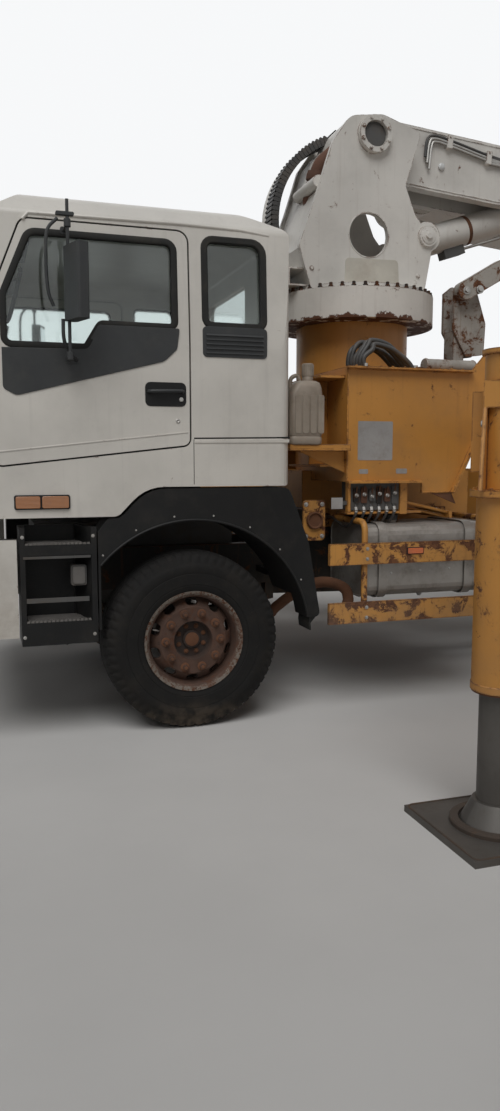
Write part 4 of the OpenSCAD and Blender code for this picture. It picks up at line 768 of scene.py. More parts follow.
def cab_front():
    made = Piece("cab_front_trim", "cab").use("rubber")

    def nose(y):
        """Front panel's place at a distance from the centre plane."""
        return CAB_FRONT - 0.020 * (y / 1.0) ** 2 - max(0.0, abs(y) - 1.0) * 0.9

    def lean(z):
        return max(0.0, z - SCREEN_Z) * 0.25 / 0.895

    def across(points, ahead=0.0):
        return [(nose(y) - lean(z) + ahead, y, z) for y, z in points]
    screen = rounded([(-1.03, 2.12, 0.08), (1.03, 2.12, 0.08), (0.97, 2.86, 0.08), (-0.97, 2.86, 0.08)])
    made.tube(across(screen, 0.002), 0.016, 8, True)
    # grille with its slats, between the lamps
    for k in range(6):
        z = 1.360 + 0.075 * k
        ring = [[(nose(y) + d, y, z + h) for d, h in ((-0.012, 0.0), (0.016, 0.012), (0.018, 0.030),
            (-0.012, 0.046))] for y in [-0.86 + 1.72 * i / 24 for i in range(25)]]
        made.use("trim").rings(ring)
    for z in (1.335, 1.800):
        made.tube(across([(-0.90 + 1.80 * i / 24, z) for i in range(25)]), 0.010, 8)
    made.prism([(CAB_FRONT - 0.012, -0.11), (CAB_FRONT + 0.008, -0.10), (CAB_FRONT + 0.008, 0.10),
        (CAB_FRONT - 0.012, 0.11)], 2, 1.86, 1.93)
    # wipers at rest
    for y in (-0.88, -0.25, 0.38):
        pivot = across([(y, 2.070)], 0.02)[0]
        tip = across([(y + 0.34, 2.180)], 0.03)[0]
        made.use("black").lathe(pivot, (1, 0, 0.2), [(-0.03, 0.020), (0.012, 0.020), (0.018, 0.014)], 16)
        made.tube([pivot, tip], 0.007, 8)
        blade = across([(y + 0.08 + 0.50 * i / 8, 2.155 + 0.03 * math.sin(math.pi * i / 8))
            for i in range(9)], 0.022)
        made.tube(blade, 0.008, 6)
    # hand grips and roof markers
    for y in (-0.98, 0.98):
        grip = [(nose(y) - lean(z) + d, y, z) for d, z in ((0.0, 1.90), (0.041, 1.93), (0.048, 1.99),
            (0.041, 2.05), (0.0, 2.08))]
        made.use("trim").tube(smooth(grip), 0.010, 10)
    for y in (-0.9, 0.9):
        made.use("black").prism(slab(FA + 0.86, y - 0.05, FA + 0.96, y + 0.05, 0.02), 2, 3.010, 3.030)
        made.use("amber").prism(slab(FA + 0.87, y - 0.04, FA + 0.95, y + 0.04, 0.018), 2, 3.026, 3.050)
    made.done(0.002)
    made = Piece("bumper_trim").use("black")
    for side in (1, -1):
        for r0, y in ((0.075, 0.740), (0.075, 0.910)):
            c = (FA + 1.384, side * y, 0.885)
            made.use("black").lathe(c, X_AXIS, [(0, r0), (0.010, r0), (0.012, r0 - 0.008),
                (0.004, r0 - 0.014)], 32)
            made.use("lens").lathe(c, X_AXIS, [(0.0, r0 - 0.012), (0.008, r0 - 0.016), (0.014, r0 - 0.040),
                (0.016, 0)], 32)
        made.use("orange").prism(slab(side * 1.075 - 0.05, 0.800, side * 1.075 + 0.05, 0.970, 0.02), 0,
            FA + 1.33, FA + 1.352)
        made.use("lens").prism(slab(side * 0.42 - 0.09, 0.700, side * 0.42 + 0.09, 0.760, 0.02), 0,
            FA + 1.37, FA + 1.399)
    # lower mesh, blank number plate and towing eyes
    for k in range(7):
        made.use("trim").prism([(-0.36, 0.93 + 0.027 * k), (0.36, 0.93 + 0.027 * k),
            (0.36, 0.942 + 0.027 * k), (-0.36, 0.942 + 0.027 * k)], 0, FA + 1.372, FA + 1.399)
    made.use("label").prism(slab(-0.26, 0.79, 0.26, 0.90, 0.008), 0, FA + 1.37, FA + 1.399)
    for y in (-0.30, 0.30):
        made.use("frame_black").lathe((FA + 1.36, y, 0.70), X_AXIS, [(0, 0.035), (0.036, 0.035),
            (0.039, 0.030)], 20)
    made.done(0.003)


def pad(name, body, low, high, axis, crown, channels, node):
    """Sewn cushion: crowned along one axis, drawn in between its corners, with sewn channels."""
    bm = bmesh.new()
    bmesh.ops.create_cube(bm, size=2)
    bmesh.ops.subdivide_edges(bm, edges=bm.edges, cuts=17, use_grid_fill=True)
    middle = [(a + b) / 2 for a, b in zip(low, high)]
    half = [(b - a) / 2 for a, b in zip(low, high)]
    u_axis, v_axis = [i for i in range(3) if i != axis]
    for v in bm.verts:
        p = list(v.co)
        shrink = sum(abs(c) ** 7 for c in p) ** (-1 / 7)
        q = [c * shrink for c in p]
        u, w = q[u_axis], q[v_axis]
        bulge = max(0.0, 1 - u * u) * max(0.0, 1 - w * w)
        q[u_axis] *= 0.965 + 0.035 * abs(w) ** 2
        q[v_axis] *= 0.965 + 0.035 * abs(u) ** 2
        face = 1 if p[axis] > 0 else -1
        if abs(p[axis]) > 0.9:
            sink = sum(math.exp(-((u - c) / 0.045) ** 2) for c in channels)
            q[axis] = face * (1 - crown + crown * bulge ** 0.6 - 0.16 * sink * min(1.0,
                bulge * 4)) * (0.98 if face > 0 else 0.9)
        v.co = [m + h * c for m, h, c in zip(middle, half, q)]
    mesh = bpy.data.meshes.new(name)
    bm.to_mesh(mesh)
    bm.free()
    mesh.shade_smooth()
    mesh.materials.append(MAT["seat"])
    made = bpy.data.objects.new(name, mesh)
    bpy.context.scene.collection.objects.link(made)
    made.modifiers.new("soft", "SUBSURF").levels = 1
    made.modifiers["soft"].render_levels = 1
    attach(made, body)
    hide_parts(node)


def cabin():
    base = Piece("seat_bases", "cab").use("black")
    for word, side in SIDES:
        y = side * 0.56
        low_y, high_y = y - 0.24, y + 0.24
        pad("seat_cushion_" + word, "cab", (FA - 0.11, low_y - 0.01, 1.762),
            (FA + 0.38, high_y + 0.01, 1.890), 2, 0.30, (-0.35, 0.35), "seats")
        pad("seat_back_" + word, "cab", (FA - 0.25, low_y, 1.80), (FA - 0.122, high_y, 2.30), 0, 0.30,
            (-0.5, 0.5), "seats")
        pad("head_rest_" + word, "cab", (FA - 0.24, y - 0.14, 2.315), (FA - 0.135, y + 0.14, 2.478), 0,
            0.25, (), "seats")
        base.box((FA - 0.06, low_y + 0.02, 1.512), (FA + 0.34, high_y - 0.02, 1.560))
        base.tube([(FA + 0.0, y, 1.56 + 0.012 * k) for k in range(2)], 0.15, 20)
        for k in range(6):
            base.lathe((FA + 0.14, y, 1.570 + 0.025 * k), Z_AXIS, [(0, 0.13), (0.012, 0.155),
                (0.024, 0.13)], 24)
        base.box((FA - 0.08, low_y + 0.02, 1.715), (FA + 0.36, high_y - 0.02, 1.762))
        base.box((FA - 0.252, low_y + 0.06, 1.72), (FA - 0.236, high_y - 0.06, 2.28))
        for d in (-0.06, 0.06):
            base.rod((FA - 0.19, y + d, 2.27), (FA - 0.19, y + d, 2.34), 0.006, 10)
    made = base.done(0.006)
    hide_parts("seats")
    made = Piece("cab_fittings", "cab").use("black")
    for side in (1, -1):
        # sun visor, grab handle at the door pillar and instrument hood
        made.use("trim").prism(slab(FA + 0.86, side * 0.55 - 0.28, FA + 1.03, side * 0.55 + 0.28, 0.03), 2,
            2.842, 2.860)
        made.run([(1.04, side * 1.07, 2.35), (1.00, side * 1.03, 2.37), (0.96, side * 1.02, 2.5),
            (0.93, side * 1.02, 2.62), (0.93, side * 1.06, 2.64)], 0.013, 10)
    made.use("trim").prism(rounded([(FA + 0.93, 2.00, 0.02), (FA + 1.12, 2.00, 0), (FA + 1.12, 2.10, 0.04),
        (FA + 0.95, 2.13, 0.03)]), 1, 0.34, 0.78)
    made.use("steel").rod(at(0.90, 0.05, 1.52), at(0.86, 0.05, 1.86), 0.009, 10)
    made.use("black").lathe(at(0.86, 0.05, 1.85), (-0.04, 0, 0.34),
        [(0, 0.012), (0.02, 0.026), (0.05, 0.026), (0.06, 0.012)], 20)
    made.done(0.003)


def steps():
    for word, side in SIDES:
        made = Piece("step_treads_" + word, "root", side)
        for low, high, depth in ((0.695, 0.709, 0.965), (1.130, 1.142, 0.965)):
            # grating with teeth along its outer edge
            made.use("tread").block(0.602, depth + 0.02, low, 0.950, 1.180, high - 0.006)
            for k in range(7):
                y = 1.000 + 0.027 * k
                made.block(0.640, y, low, 0.945, y + 0.006, high)
            for k in range(16):
                x = 0.600 + 0.0225 * k
                made.profile([(x, low), (x + 0.020, low), (x + 0.016, high + 0.004), (x + 0.010, high),
                    (x + 0.004, high + 0.004)], 1.176, 1.199)
        made.use("cast").plate(0.618, 0.895, 0.705, 1.013, 0.012, 1.090, 1.150)
        made.use("tread").plate(0.628, 0.905, 0.695, 1.003, 0.012, 1.148, 1.156)
        made.use("cast").block(0.612, 1.196, 0.812, 0.955, 1.2035, 0.838)
        made.block(0.600, 1.196, 1.058, 0.968, 1.2035, 1.072)
        made.use("black").profile([(0.600, 0.662), (0.860, 0.662), (0.800, 0.600), (0.738, 0.556),
            (0.655, 0.590)], 1.150, 1.158)
        for x, z in ((0.585, 0.620), (0.585, 1.180), (0.970, 0.620), (0.970, 1.180)):
            made.use("steel").hexagon(at(x, 1.199, z), Y_AXIS, 0.007, 0.005)
        made.done(0.0015)
        made = Piece("mudguard_trim_" + word, "root", side).use("black")
        # rolled lip round the arch, screws and the rear flap
        arch = [(FA + 0.722 * math.cos(a), 1.2045, AXLE_Z + 0.722 * math.sin(a))
                for a in [math.radians(41 + 128 * k / 48) for k in range(49)]]
        made.tube(arch, 0.008, 8)
        for a in range(45, 170, 18):
            t = math.radians(a)
            made.use("steel").hexagon((FA + 0.752 * math.cos(t), 1.204, AXLE_Z + 0.752 * math.sin(t)),
                Y_AXIS, 0.006, 0.004)
        made.use("rubber").profile([(-0.79, 0.655), (-0.735, 0.655), (-0.728, 0.60), (-0.735, 0.555),
            (-0.745, 0.555), (-0.742, 0.60)], 1.01, 1.190)
        made.done(0.0015)


def can():
    made = Piece("water_can").use("can")
    rows = [(1.697, 0.012), (1.703, 0.003), (1.715, 0.0), (1.740, 0.0), (1.748, 0.004), (1.756, 0.0),
        (2.010, 0.0), (2.050, 0.004), (2.075, 0.012), (2.088, 0.030)]
    rings = []
    for z, cut in rows:
        front = 0.636 if z < 2.0 else 0.636 + (z - 2.0) * 0.55
        rings.append([(FA - p[0], p[1], z) for p in slab(front + cut, 0.884 + cut, 0.856 - cut, 1.096 - cut,
            0.035)])
    made.rings(rings)
    for k in range(4):
        # raised panels between the three grooves, on both broad faces
        x = 0.668 + 0.050 * k
        for y0, y1 in ((1.090, 1.1005), (0.8795, 0.890)):
            made.plate(-x - 0.040, 1.765, -x, 2.000, 0.012, y0, y1)
    made.run([(-0.672, 0.99, 2.045), (-0.676, 0.99, 2.098), (-0.700, 0.99, 2.120), (-0.722, 0.99, 2.118),
        (-0.738, 0.99, 2.080)], 0.013, 12)
    made.lathe(at(-0.790, 0.990, 2.080), Z_AXIS, [(0, 0.034), (0.040, 0.034), (0.046, 0.030)], 24)
    made.lathe(at(-0.790, 0.990, 2.118), Z_AXIS, [(0, 0.034), (0.004, 0.037), (0.075, 0.036),
        (0.081, 0.030), (0.082, 0)], 24)
    for rib in around(at(-0.790, 0.990, 2.124), X_AXIS, Y_AXIS, 0.0365, 18):
        made.rod(rib, rib + Z_AXIS * 0.066, 0.0022, 6)
    made.use("yellow").block(-1.0495, 0.900, 1.662, -0.640, 1.080, 1.672)
    made.block(-1.0495, 1.070, 1.662, -0.640, 1.080, 1.700)
    made.block(-0.650, 0.900, 1.662, -0.640, 1.080, 1.700)
    made.profile([(-1.0495, 1.662), (-0.720, 1.662), (-1.0495, 1.520)], 0.985, 0.993)
    made.done(0.003, replaces=["jerrycan"])


# Pedestal and turret
def turret_parts():
    made = Piece("turret_bolts", "turret").use("boom_white")
    foot_bolts = around((PED, 0, TURRET_Z + 0.030), X_AXIS, Y_AXIS, 0.475, 24, math.pi / 24)
    made.bolts(foot_bolts, Z_AXIS, 0.012, 0.018)
    for side in (1, -1):
        face = 0.392 if side > 0 else -0.371
        made.bolts(around((PED + 0.008, face, 3.862), X_AXIS, Z_AXIS, 0.106, 8, math.pi / 8), (0, side, 0),
            0.0105, 0.010)
        made.use("cast").lathe((PED + 0.008, 0.357 * side, 3.862), (0, side, 0),
            [(0, 0.086), (0.008, 0.084), (0.010, 0.060), (0.013, 0.030), (0.013, 0)], 32)
        made.use("boom_white").hexagon((LIFT_X, 0.372 * side, LIFT_Z), (0, side, 0), 0.026, 0.020)
        made.lathe((LIFT_X, 0.371 * side, LIFT_Z), (0, side, 0),
            [(0, 0.058), (0.004, 0.058), (0.006, 0.054)], 28)
        for x, z in ((-0.36, 2.93), (0.47, 2.93)):
            made.hexagon((PED + x, 0.350 * side, z), (0, side, 0), 0.012, 0.011)
    # pale plate that covers an old opening
    made.use("bare_patch").prism(rounded([(PED - 0.208, 2.842, 0.02), (PED + 0.220, 2.836, 0.02),
        (PED + 0.214, 3.020, 0.03), (PED - 0.196, 3.028, 0.03)]), 1, 0.349, 0.3535)
    # rim of the big hole
    made.use("boom_white").hoop((PED + 0.036, 0.346, 3.187), Y_AXIS, 0.1502, 0.158, 0.0075)
    # rusty pipe parts in the opening at the front
    made.use("rim").tube(smooth([(PED + 0.335, 0.05, 3.40), (PED + 0.330, 0.06, 3.55),
        (PED + 0.300, 0.09, 3.70), (PED + 0.200, 0.10, 3.80)]), 0.062, 20)
    for p, d in (((PED + 0.333, 0.055, 3.47), (0, 0.05, 1)), ((PED + 0.315, 0.075, 3.63), (-0.2, 0.15, 1))):
        made.lathe(p, d, [(-0.03, 0.064), (-0.03, 0.082), (-0.006, 0.086), (0.006, 0.086), (0.03, 0.082),
            (0.03, 0.064)], 28)
    made.box((PED + 0.290, 0.200, 3.560), (PED + 0.345, 0.308, 3.585))
    made.box((PED + 0.255, 0.215, 3.640), (PED + 0.300, 0.308, 3.720))
    for k in range(3):
        y = 0.13 + 0.05 * k
        made.use("hose").tube(smooth([(PED + 0.22, y, 3.02), (PED + 0.33 - 0.02 * k, y, 3.25),
            (PED + 0.30, y - 0.02, 3.5), (PED + 0.12, y - 0.03, 3.78)]), 0.014, 10)
    made.done(0.002)
    made = Piece("ring_bolts").use("frame_black")
    for c in around((PED, 0, TURRET_Z - 0.001), X_AXIS, Y_AXIS, 0.581, 46, math.pi / 46):
        made.lathe(c, Z_AXIS, [(0, 0.017), (0.012, 0.017), (0.012, 0.012), (0.030, 0.012), (0.033, 0.009)],
            10)
    made.done()
    made = Piece("hose_chain", "turret").use("hose")
    centre = Vector((PED - 0.050, 0, 3.360))

    def on_arc(r, angle, y):
        return centre + Vector((r * math.cos(angle), y, r * math.sin(angle)))
    for k in range(26):
        # link plates with a raised nose each, beside the tray
        a0, a1 = math.radians(-6 + 2.9 * k), math.radians(-6 + 2.9 * (k + 1) - 0.3)
        am = (a0 + a1) / 2
        link = [(0.610, a0), (0.658, a0), (0.674, a0 * 0.6 + am * 0.4), (0.674, am), (0.658, a1), (0.610, a1)]
        bars = [[(r0, a0 + 0.006), (r1, a0 + 0.006), (r1, a1 - 0.006), (r0, a1 - 0.006)]
            for r0, r1 in ((0.612, 0.622), (0.655, 0.668))]
        for outline, spans in ((link, ((-0.212, -0.200), (-0.082, -0.070))), (bars[0], ((-0.201, -0.081),)),
                (bars[1], ((-0.201, -0.081),))):
            for y0, y1 in spans:
                made.rings([[on_arc(r, a, y) for r, a in outline] for y in (y0, y1)])
    for k in range(4):
        y = -0.180 + 0.026 * k
        made.use("rubber").tube([on_arc(0.639, math.radians(a), y) for a in range(-8, 70,
            4)] + [Vector((PED + 0.10, y, 4.038))], 0.011, 10)
    for a in (0, 30, 62):
        made.use("boom_white").tube([on_arc(0.645, math.radians(a), y) for y in (-0.216, -0.205)], 0.012, 8)
    made.done()


def lift_parts():
    foot = Vector((LIFT_X, 0, LIFT_Z))
    along = (boom(LIFT_S) - foot).normalized()
    top = Vector((along.z, 0, -along.x))
    made = Piece("lift_cylinder_fittings", "lift_barrel").use("boom_white")
    for d, r, w in ((1.355, 0.1155, 0.044), (1.28, 0.1125, 0.02), (0.14, 0.1125, 0.02)):
        made.collar(foot + along * d, along, r, w)
    made.use("steel").bolts(around(foot + along * 1.399, top, Y_AXIS, 0.088, 10), along, 0.008, 0.007)
    # ports with their valve block, and the two lines
    made.use("cast")
    block = [foot + along * s - top * h + Y_AXIS * y for s, h, y in (
        (0.30, 0.085, -0.05), (0.48, 0.085, -0.05), (0.48, 0.085, 0.05), (0.30, 0.085, 0.05),
        (0.30, 0.165, -0.05), (0.48, 0.165, -0.05), (0.48, 0.165, 0.05), (0.30, 0.165, 0.05))]
    made.add(block, [[0, 1, 2, 3], [4, 5, 6, 7], [0, 1, 5, 4], [1, 2, 6, 5], [2, 3, 7, 6], [3, 0, 4, 7]])
    for y in (-0.03, 0.03):
        made.use("steel").tube(smooth([foot + along * 0.48 - top * 0.125 + Y_AXIS * y,
            foot + along * 0.56 - top * 0.128 + Y_AXIS * y, foot + along * 1.20 - top * 0.126 + Y_AXIS * y,
            foot + along * 1.26 - top * 0.11 + Y_AXIS * y]), 0.009, 10)
    made.use("rusty").lathe(foot + along * 0.52, along, [(0, 0.109), (0.006, 0.112), (0.030, 0.112),
        (0.036, 0.109)], 40)
    made.done(0.002)
    made = Piece("lift_eye_parts", "arm_1").use("boom_white")
    for side in (1, -1):
        c = boom(LIFT_S, 0, 0.214 * side)
        made.lathe(c, (0, side, 0), [(0, 0.062), (0.010, 0.062), (0.013, 0.058), (0.013, 0.030),
            (0.009, 0.028), (0.009, 0)], 32)
        made.bolts(around(boom(LIFT_S, 0, 0.226 * side), -FWD, UP_BOOM, 0.044, 3, 0.5), (0, side, 0), 0.008,
            0.008)
    made.rod(boom(LIFT_S, 0, -0.213), boom(LIFT_S, 0, 0.213), 0.0445, 24)
    made.done(0.0015)


def arm_parts():
    made = Piece("arm_1_lines", "arm_1").use("steel")
    heights = (0.168, 0.148, 0.128)
    for k, h in enumerate(heights):
        run = [boom(0.47 + 0.02 * k, h - 0.16 - 0.02 * k, 0.222), boom(0.475 + 0.02 * k, h - 0.04, 0.222),
            boom(0.53 + 0.01 * k, h, 0.222), boom(0.70, h - 0.012, 0.222), boom(1.10, h - 0.062, 0.222),
            boom(1.6, h - 0.072, 0.222), boom(7.4, h - 0.075, 0.222), boom(7.6, h - 0.05, 0.222)]
        made.use("steel" if k else "hose").tube(smooth(run, 5), 0.0095, 10)
    for s, h in ((0.66, 0.146), (1.00, 0.096), (1.7, 0.074), (2.9, 0.073), (4.1, 0.073), (5.3, 0.073),
            (6.5, 0.073)):
        ring = [boom(s + a, h + b, y) for a, b, y in ((-0.022, -0.045, 0.199), (0.022, -0.045, 0.199),
            (0.022, 0.045, 0.199), (-0.022, 0.045, 0.199))]
        made.use("boom_white").rings([ring, [p + Y_AXIS * 0.038 for p in ring]])
        made.hexagon(boom(s, h + 0.032, 0.237), Y_AXIS, 0.006, 0.006)
    made.use("lens").lathe(boom(0.62, -0.03, 0.200), Y_AXIS, [(0, 0.026), (0.012, 0.026), (0.018, 0.018),
        (0.020, 0)], 24)
    # long weld bead on the side and lifting lugs on top
    for h in (0.196, -0.196):
        made.use("boom_white").tube([boom(0.2 + 0.35 * k, h * (1 - 0.2 * max(0, k - 5) / 16), 0.2005)
            for k in range(22)], 0.005, 6)
    for s in (2.3, 5.9):
        made.lathe(boom(s, 0.19, 0), Y_AXIS, [(-0.012, 0.055), (0.012, 0.055)], 24)
    made.done(0.0015)
    # couplings on the delivery pipes, and caps on the fold pins
    runs = (("arm_1", -0.275, 0.0, [0.68, 1.9, 3.4, 4.9, 6.4, 7.46], (8.0, 0.201, 1, 0.150)),
            ("arm_2", -0.634, 0.230, [7.76, 6.3, 4.8, 3.3, 1.8, 1.14], (8.0, -0.420, 1, 0.125)),
            ("arm_3", -0.914, 0.205, [1.04, 2.5, 4.0, 5.5, 7.0, 7.66], (0.8, -0.740, 1, 0.105)),
            ("arm_4", -1.110, 0.175, [7.76, 6.4, 5.0, 3.6, 2.2], (8.0, -1.201, -1, 0.095)))
    for body, y, h, places, cap in runs:
        made = Piece(body + "_couplings", body)
        for s in places:
            c = boom(s, h, y)
            made.use("steel").coupling(c, FWD, PIPE_R, PIPE_LIP, 0.074)
            made.use("rusty").tube(smooth([c - Y_AXIS * 0.068 + FWD * 0.02, c - Y_AXIS * 0.088 + FWD * 0.01,
                c - Y_AXIS * 0.084 - FWD * 0.08]), 0.006, 8)
        s, y, side, r = cap
        made.use("boom_white").lathe(boom(s, 0, y), (0, side, 0), [(0, r), (0.008, r), (0.012, r - 0.006),
            (0.012, 0)], 36)
        made.bolts(around(boom(s, 0, y + side * 0.012), -FWD, UP_BOOM, r * 0.72, 6), (0, side, 0), 0.010,
            0.010)
        made.done(0.0015)
    made = Piece("pivot_elbow", "arm_1").use("boom_white")
    made.tube(smooth([boom(0.66, 0, -0.275), boom(0.56, 0, -0.325), boom(0.44, 0, -0.400),
        boom(0.28, 0, -0.446), boom(0.12, 0, -0.450), boom(0.0, 0, -0.436), boom(0.0, 0, -0.372)], 6),
        0.060, 20)
    made.done()


def pedestal_parts():
    made = Piece("pedestal_hoses")
    for k in range(6):
        # hoses that rise by the column and loop over the cheek's top to the valves
        y = 0.66 + 0.048 * k
        lift = 0.02 * math.sin(2.2 * k)
        made.use("hose").run([(-1.225, y, 2.179), (-1.215, y, 2.26), (-1.235 - 0.008 * k, y, 2.335 + lift),
            (-1.300, y - 0.01, 2.372 + lift), (-1.430, y - 0.02, 2.345 + lift), (-1.545, y - 0.02, 2.250),
            (-1.600, y - 0.02, 2.179)], 0.0165, 12)
        for x, yy in ((-1.225, y), (-1.600, y - 0.02)):
            made.use("steel").lathe(at(x, yy, 2.172), Z_AXIS, [(0, 0.024), (0.024, 0.024), (0.026, 0.019),
                (0.055, 0.019)], 12)
    made.use("cast").block(-1.255, 0.63, 2.178, -1.190, 0.94, 2.192)
    made.block(-1.635, 0.61, 2.178, -1.570, 0.92, 2.192)
    made.done(0.001)
    made = Piece("pedestal_fittings").use("label")
    for x0, z0, x1, z1 in ((-1.371, 1.602, -1.125, 1.850), (-1.200, 1.515, -1.135, 1.545),
            (-1.480, 1.515, -1.400, 1.548)):
        made.use("label").plate(x0, z0, x1, z1, 0.008, 1.0195, 1.0215)
        for x in (x0 + 0.010, x1 - 0.010):
            for z in (z0 + 0.010, z1 - 0.010):
                made.use("steel").lathe(at(x, 1.0213, z), Y_AXIS, [(0, 0.003), (0.0012, 0.0024)], 8)
    # studs along the lip and the flange
    for k in range(10):
        made.use("yellow").hexagon(at(-1.10 - 0.085 * k, 1.040, 2.190), Z_AXIS, 0.008, 0.008)
    for k in range(8):
        t = (k + 0.5) / 8
        made.hexagon(at(-1.806 - 0.273 * t, 1.060, 1.390 + 0.578 * t), Y_AXIS, 0.008, 0.001)
    # weld ribs between the cheek and its flanges
    made.use("yellow").tube([at(-1.052, 1.021, 1.47), at(-1.052, 1.021, 2.176)], 0.006, 6)
    made.tube([at(-1.06, 1.021, 1.468), at(-1.585, 1.021, 1.468), at(-1.59, 1.021, 1.392),
        at(-1.80, 1.021, 1.392)], 0.006, 6)
    made.tube([at(-1.06, 1.021, 2.176), at(-1.94, 1.021, 2.176)], 0.006, 6)
    made.done(0.001)
    # valves, levers and their hoses below the cheek
    made = Piece("valve_parts").use("cast")
    for k in range(6):
        x = -1.405 + 0.055 * k
        drop = (0.0, 0.016, 0.004, 0.022, 0.008, 0.014)[k]
        made.use(("cast", "rim", "frame_black")[k % 3]).prism(slab(FA + x - 0.021, 1.318 + drop,
            FA + x + 0.021, 1.436 - drop, 0.008), 1, 0.985, 0.998 + drop / 2)
        made.use("steel").lathe(at(x, 0.998, 1.390 - drop), Y_AXIS, [(0, 0.014), (0.010, 0.014),
            (0.014, 0.009), (0.022, 0.008)], 12)
        made.use("rusty").rod(at(x, 1.000, 1.400 - drop), at(x + 0.010, 1.030, 1.446 - drop), 0.0045, 8)
        made.use("hose").run([(x, 0.985, 1.315), (x, 1.000, 1.275), (x + 0.01, 0.980, 1.225),
            (x + 0.02, 0.880, 1.165), (x + 0.02, 0.640, 1.215), (x + 0.02, 0.440, 1.200)], 0.009, 10)
        made.use("steel").lathe(at(x, 0.990, 1.300), (0, 0.25, -1), [(0, 0.016), (0.022, 0.016),
            (0.024, 0.013), (0.036, 0.013)], 6)
    made.use("yellow").block(-1.500, 0.96, 1.250, -1.444, 1.000, 1.462)
    made.block(-1.090, 0.96, 1.270, -1.070, 1.000, 1.462)
    made.block(-1.608, 0.90, 1.255, -1.070, 0.995, 1.270)
    made.rod(at(-1.440, 0.955, 1.340), at(-1.837, 0.955, 1.252), 0.010, 10)
    made.rod(at(-1.440, 0.920, 1.310), at(-1.837, 0.920, 1.222), 0.010, 10)
    made.block(-1.850, 0.430, 1.215, -1.826, 0.980, 1.262)
    made.use("rusty").profile([(-1.658, 1.388), (-1.815, 1.388), (-1.851, 1.313)], 1.008, 1.020)
    # flanged pipe end ahead of the web, its blank plate, and the exhaust
    made.use("yellow_worn").plate(-0.957, 1.082, -0.800, 1.346, 0.03, 0.885, 0.900)
    made.use("frame_black").block(-0.930, 0.424, 1.140, -0.830, 0.886, 1.280)
    made.use("rusty").lathe(at(-0.880, 0.900, 1.214), Y_AXIS, [(0, 0.055), (0.022, 0.055), (0.024, 0.048),
        (0.010, 0.040), (0.010, 0)], 28)
    for x in (-0.935, -0.822):
        for z in (1.110, 1.318):
            made.use("steel").hexagon(at(x, 0.900, z), Y_AXIS, 0.010, 0.010)
    made.use("label").block(-1.040, 0.984, 1.290, -0.961, 0.988, 1.363)
    made.use("cast").block(-1.092, 0.960, 1.315, -1.000, 0.985, 1.340)
    made.use("rusty").run([(-0.40, 0.10, 0.62), (-0.56, 0.42, 0.535), (-0.660, 0.61, 0.560),
        (-0.705, 0.66, 0.615), (-0.784, 0.72, 0.694), (-0.900, 0.80, 0.780), (-0.996, 0.88, 0.800),
        (-1.080, 0.94, 0.765), (-1.100, 0.96, 0.700), (-1.085, 0.97, 0.655)], 0.036, 18)
    made.use("frame_black").block(-0.83, 0.424, 0.735, -0.80, 0.74, 0.765)
    made.done(0.0015)
    # old pipe that lies on the cheek's top behind the hoses
    made = Piece("spare_pipe").use("boom_worn")
    made.lathe(at(-1.66, 0.890, 2.228), (-1, -0.02, 0), [(0, 0.030), (0, 0.045), (0.012, 0.050),
        (0.024, 0.045), (0.36, 0.045), (0.372, 0.050), (0.384, 0.045), (0.384, 0.030)], 28)
    made.done(0.001)
    # bolts of the lock lever on its plates behind the slewing ring
    made = Piece("lever_parts").use("steel")
    for x, z in ((-0.715, 2.835), (-1.030, 3.015), (-0.820, 2.845)):
        made.hexagon((PED + x, 0.440 if x != -0.820 else 0.450, z), Y_AXIS, 0.020, 0.016)
    made.done(0.001)


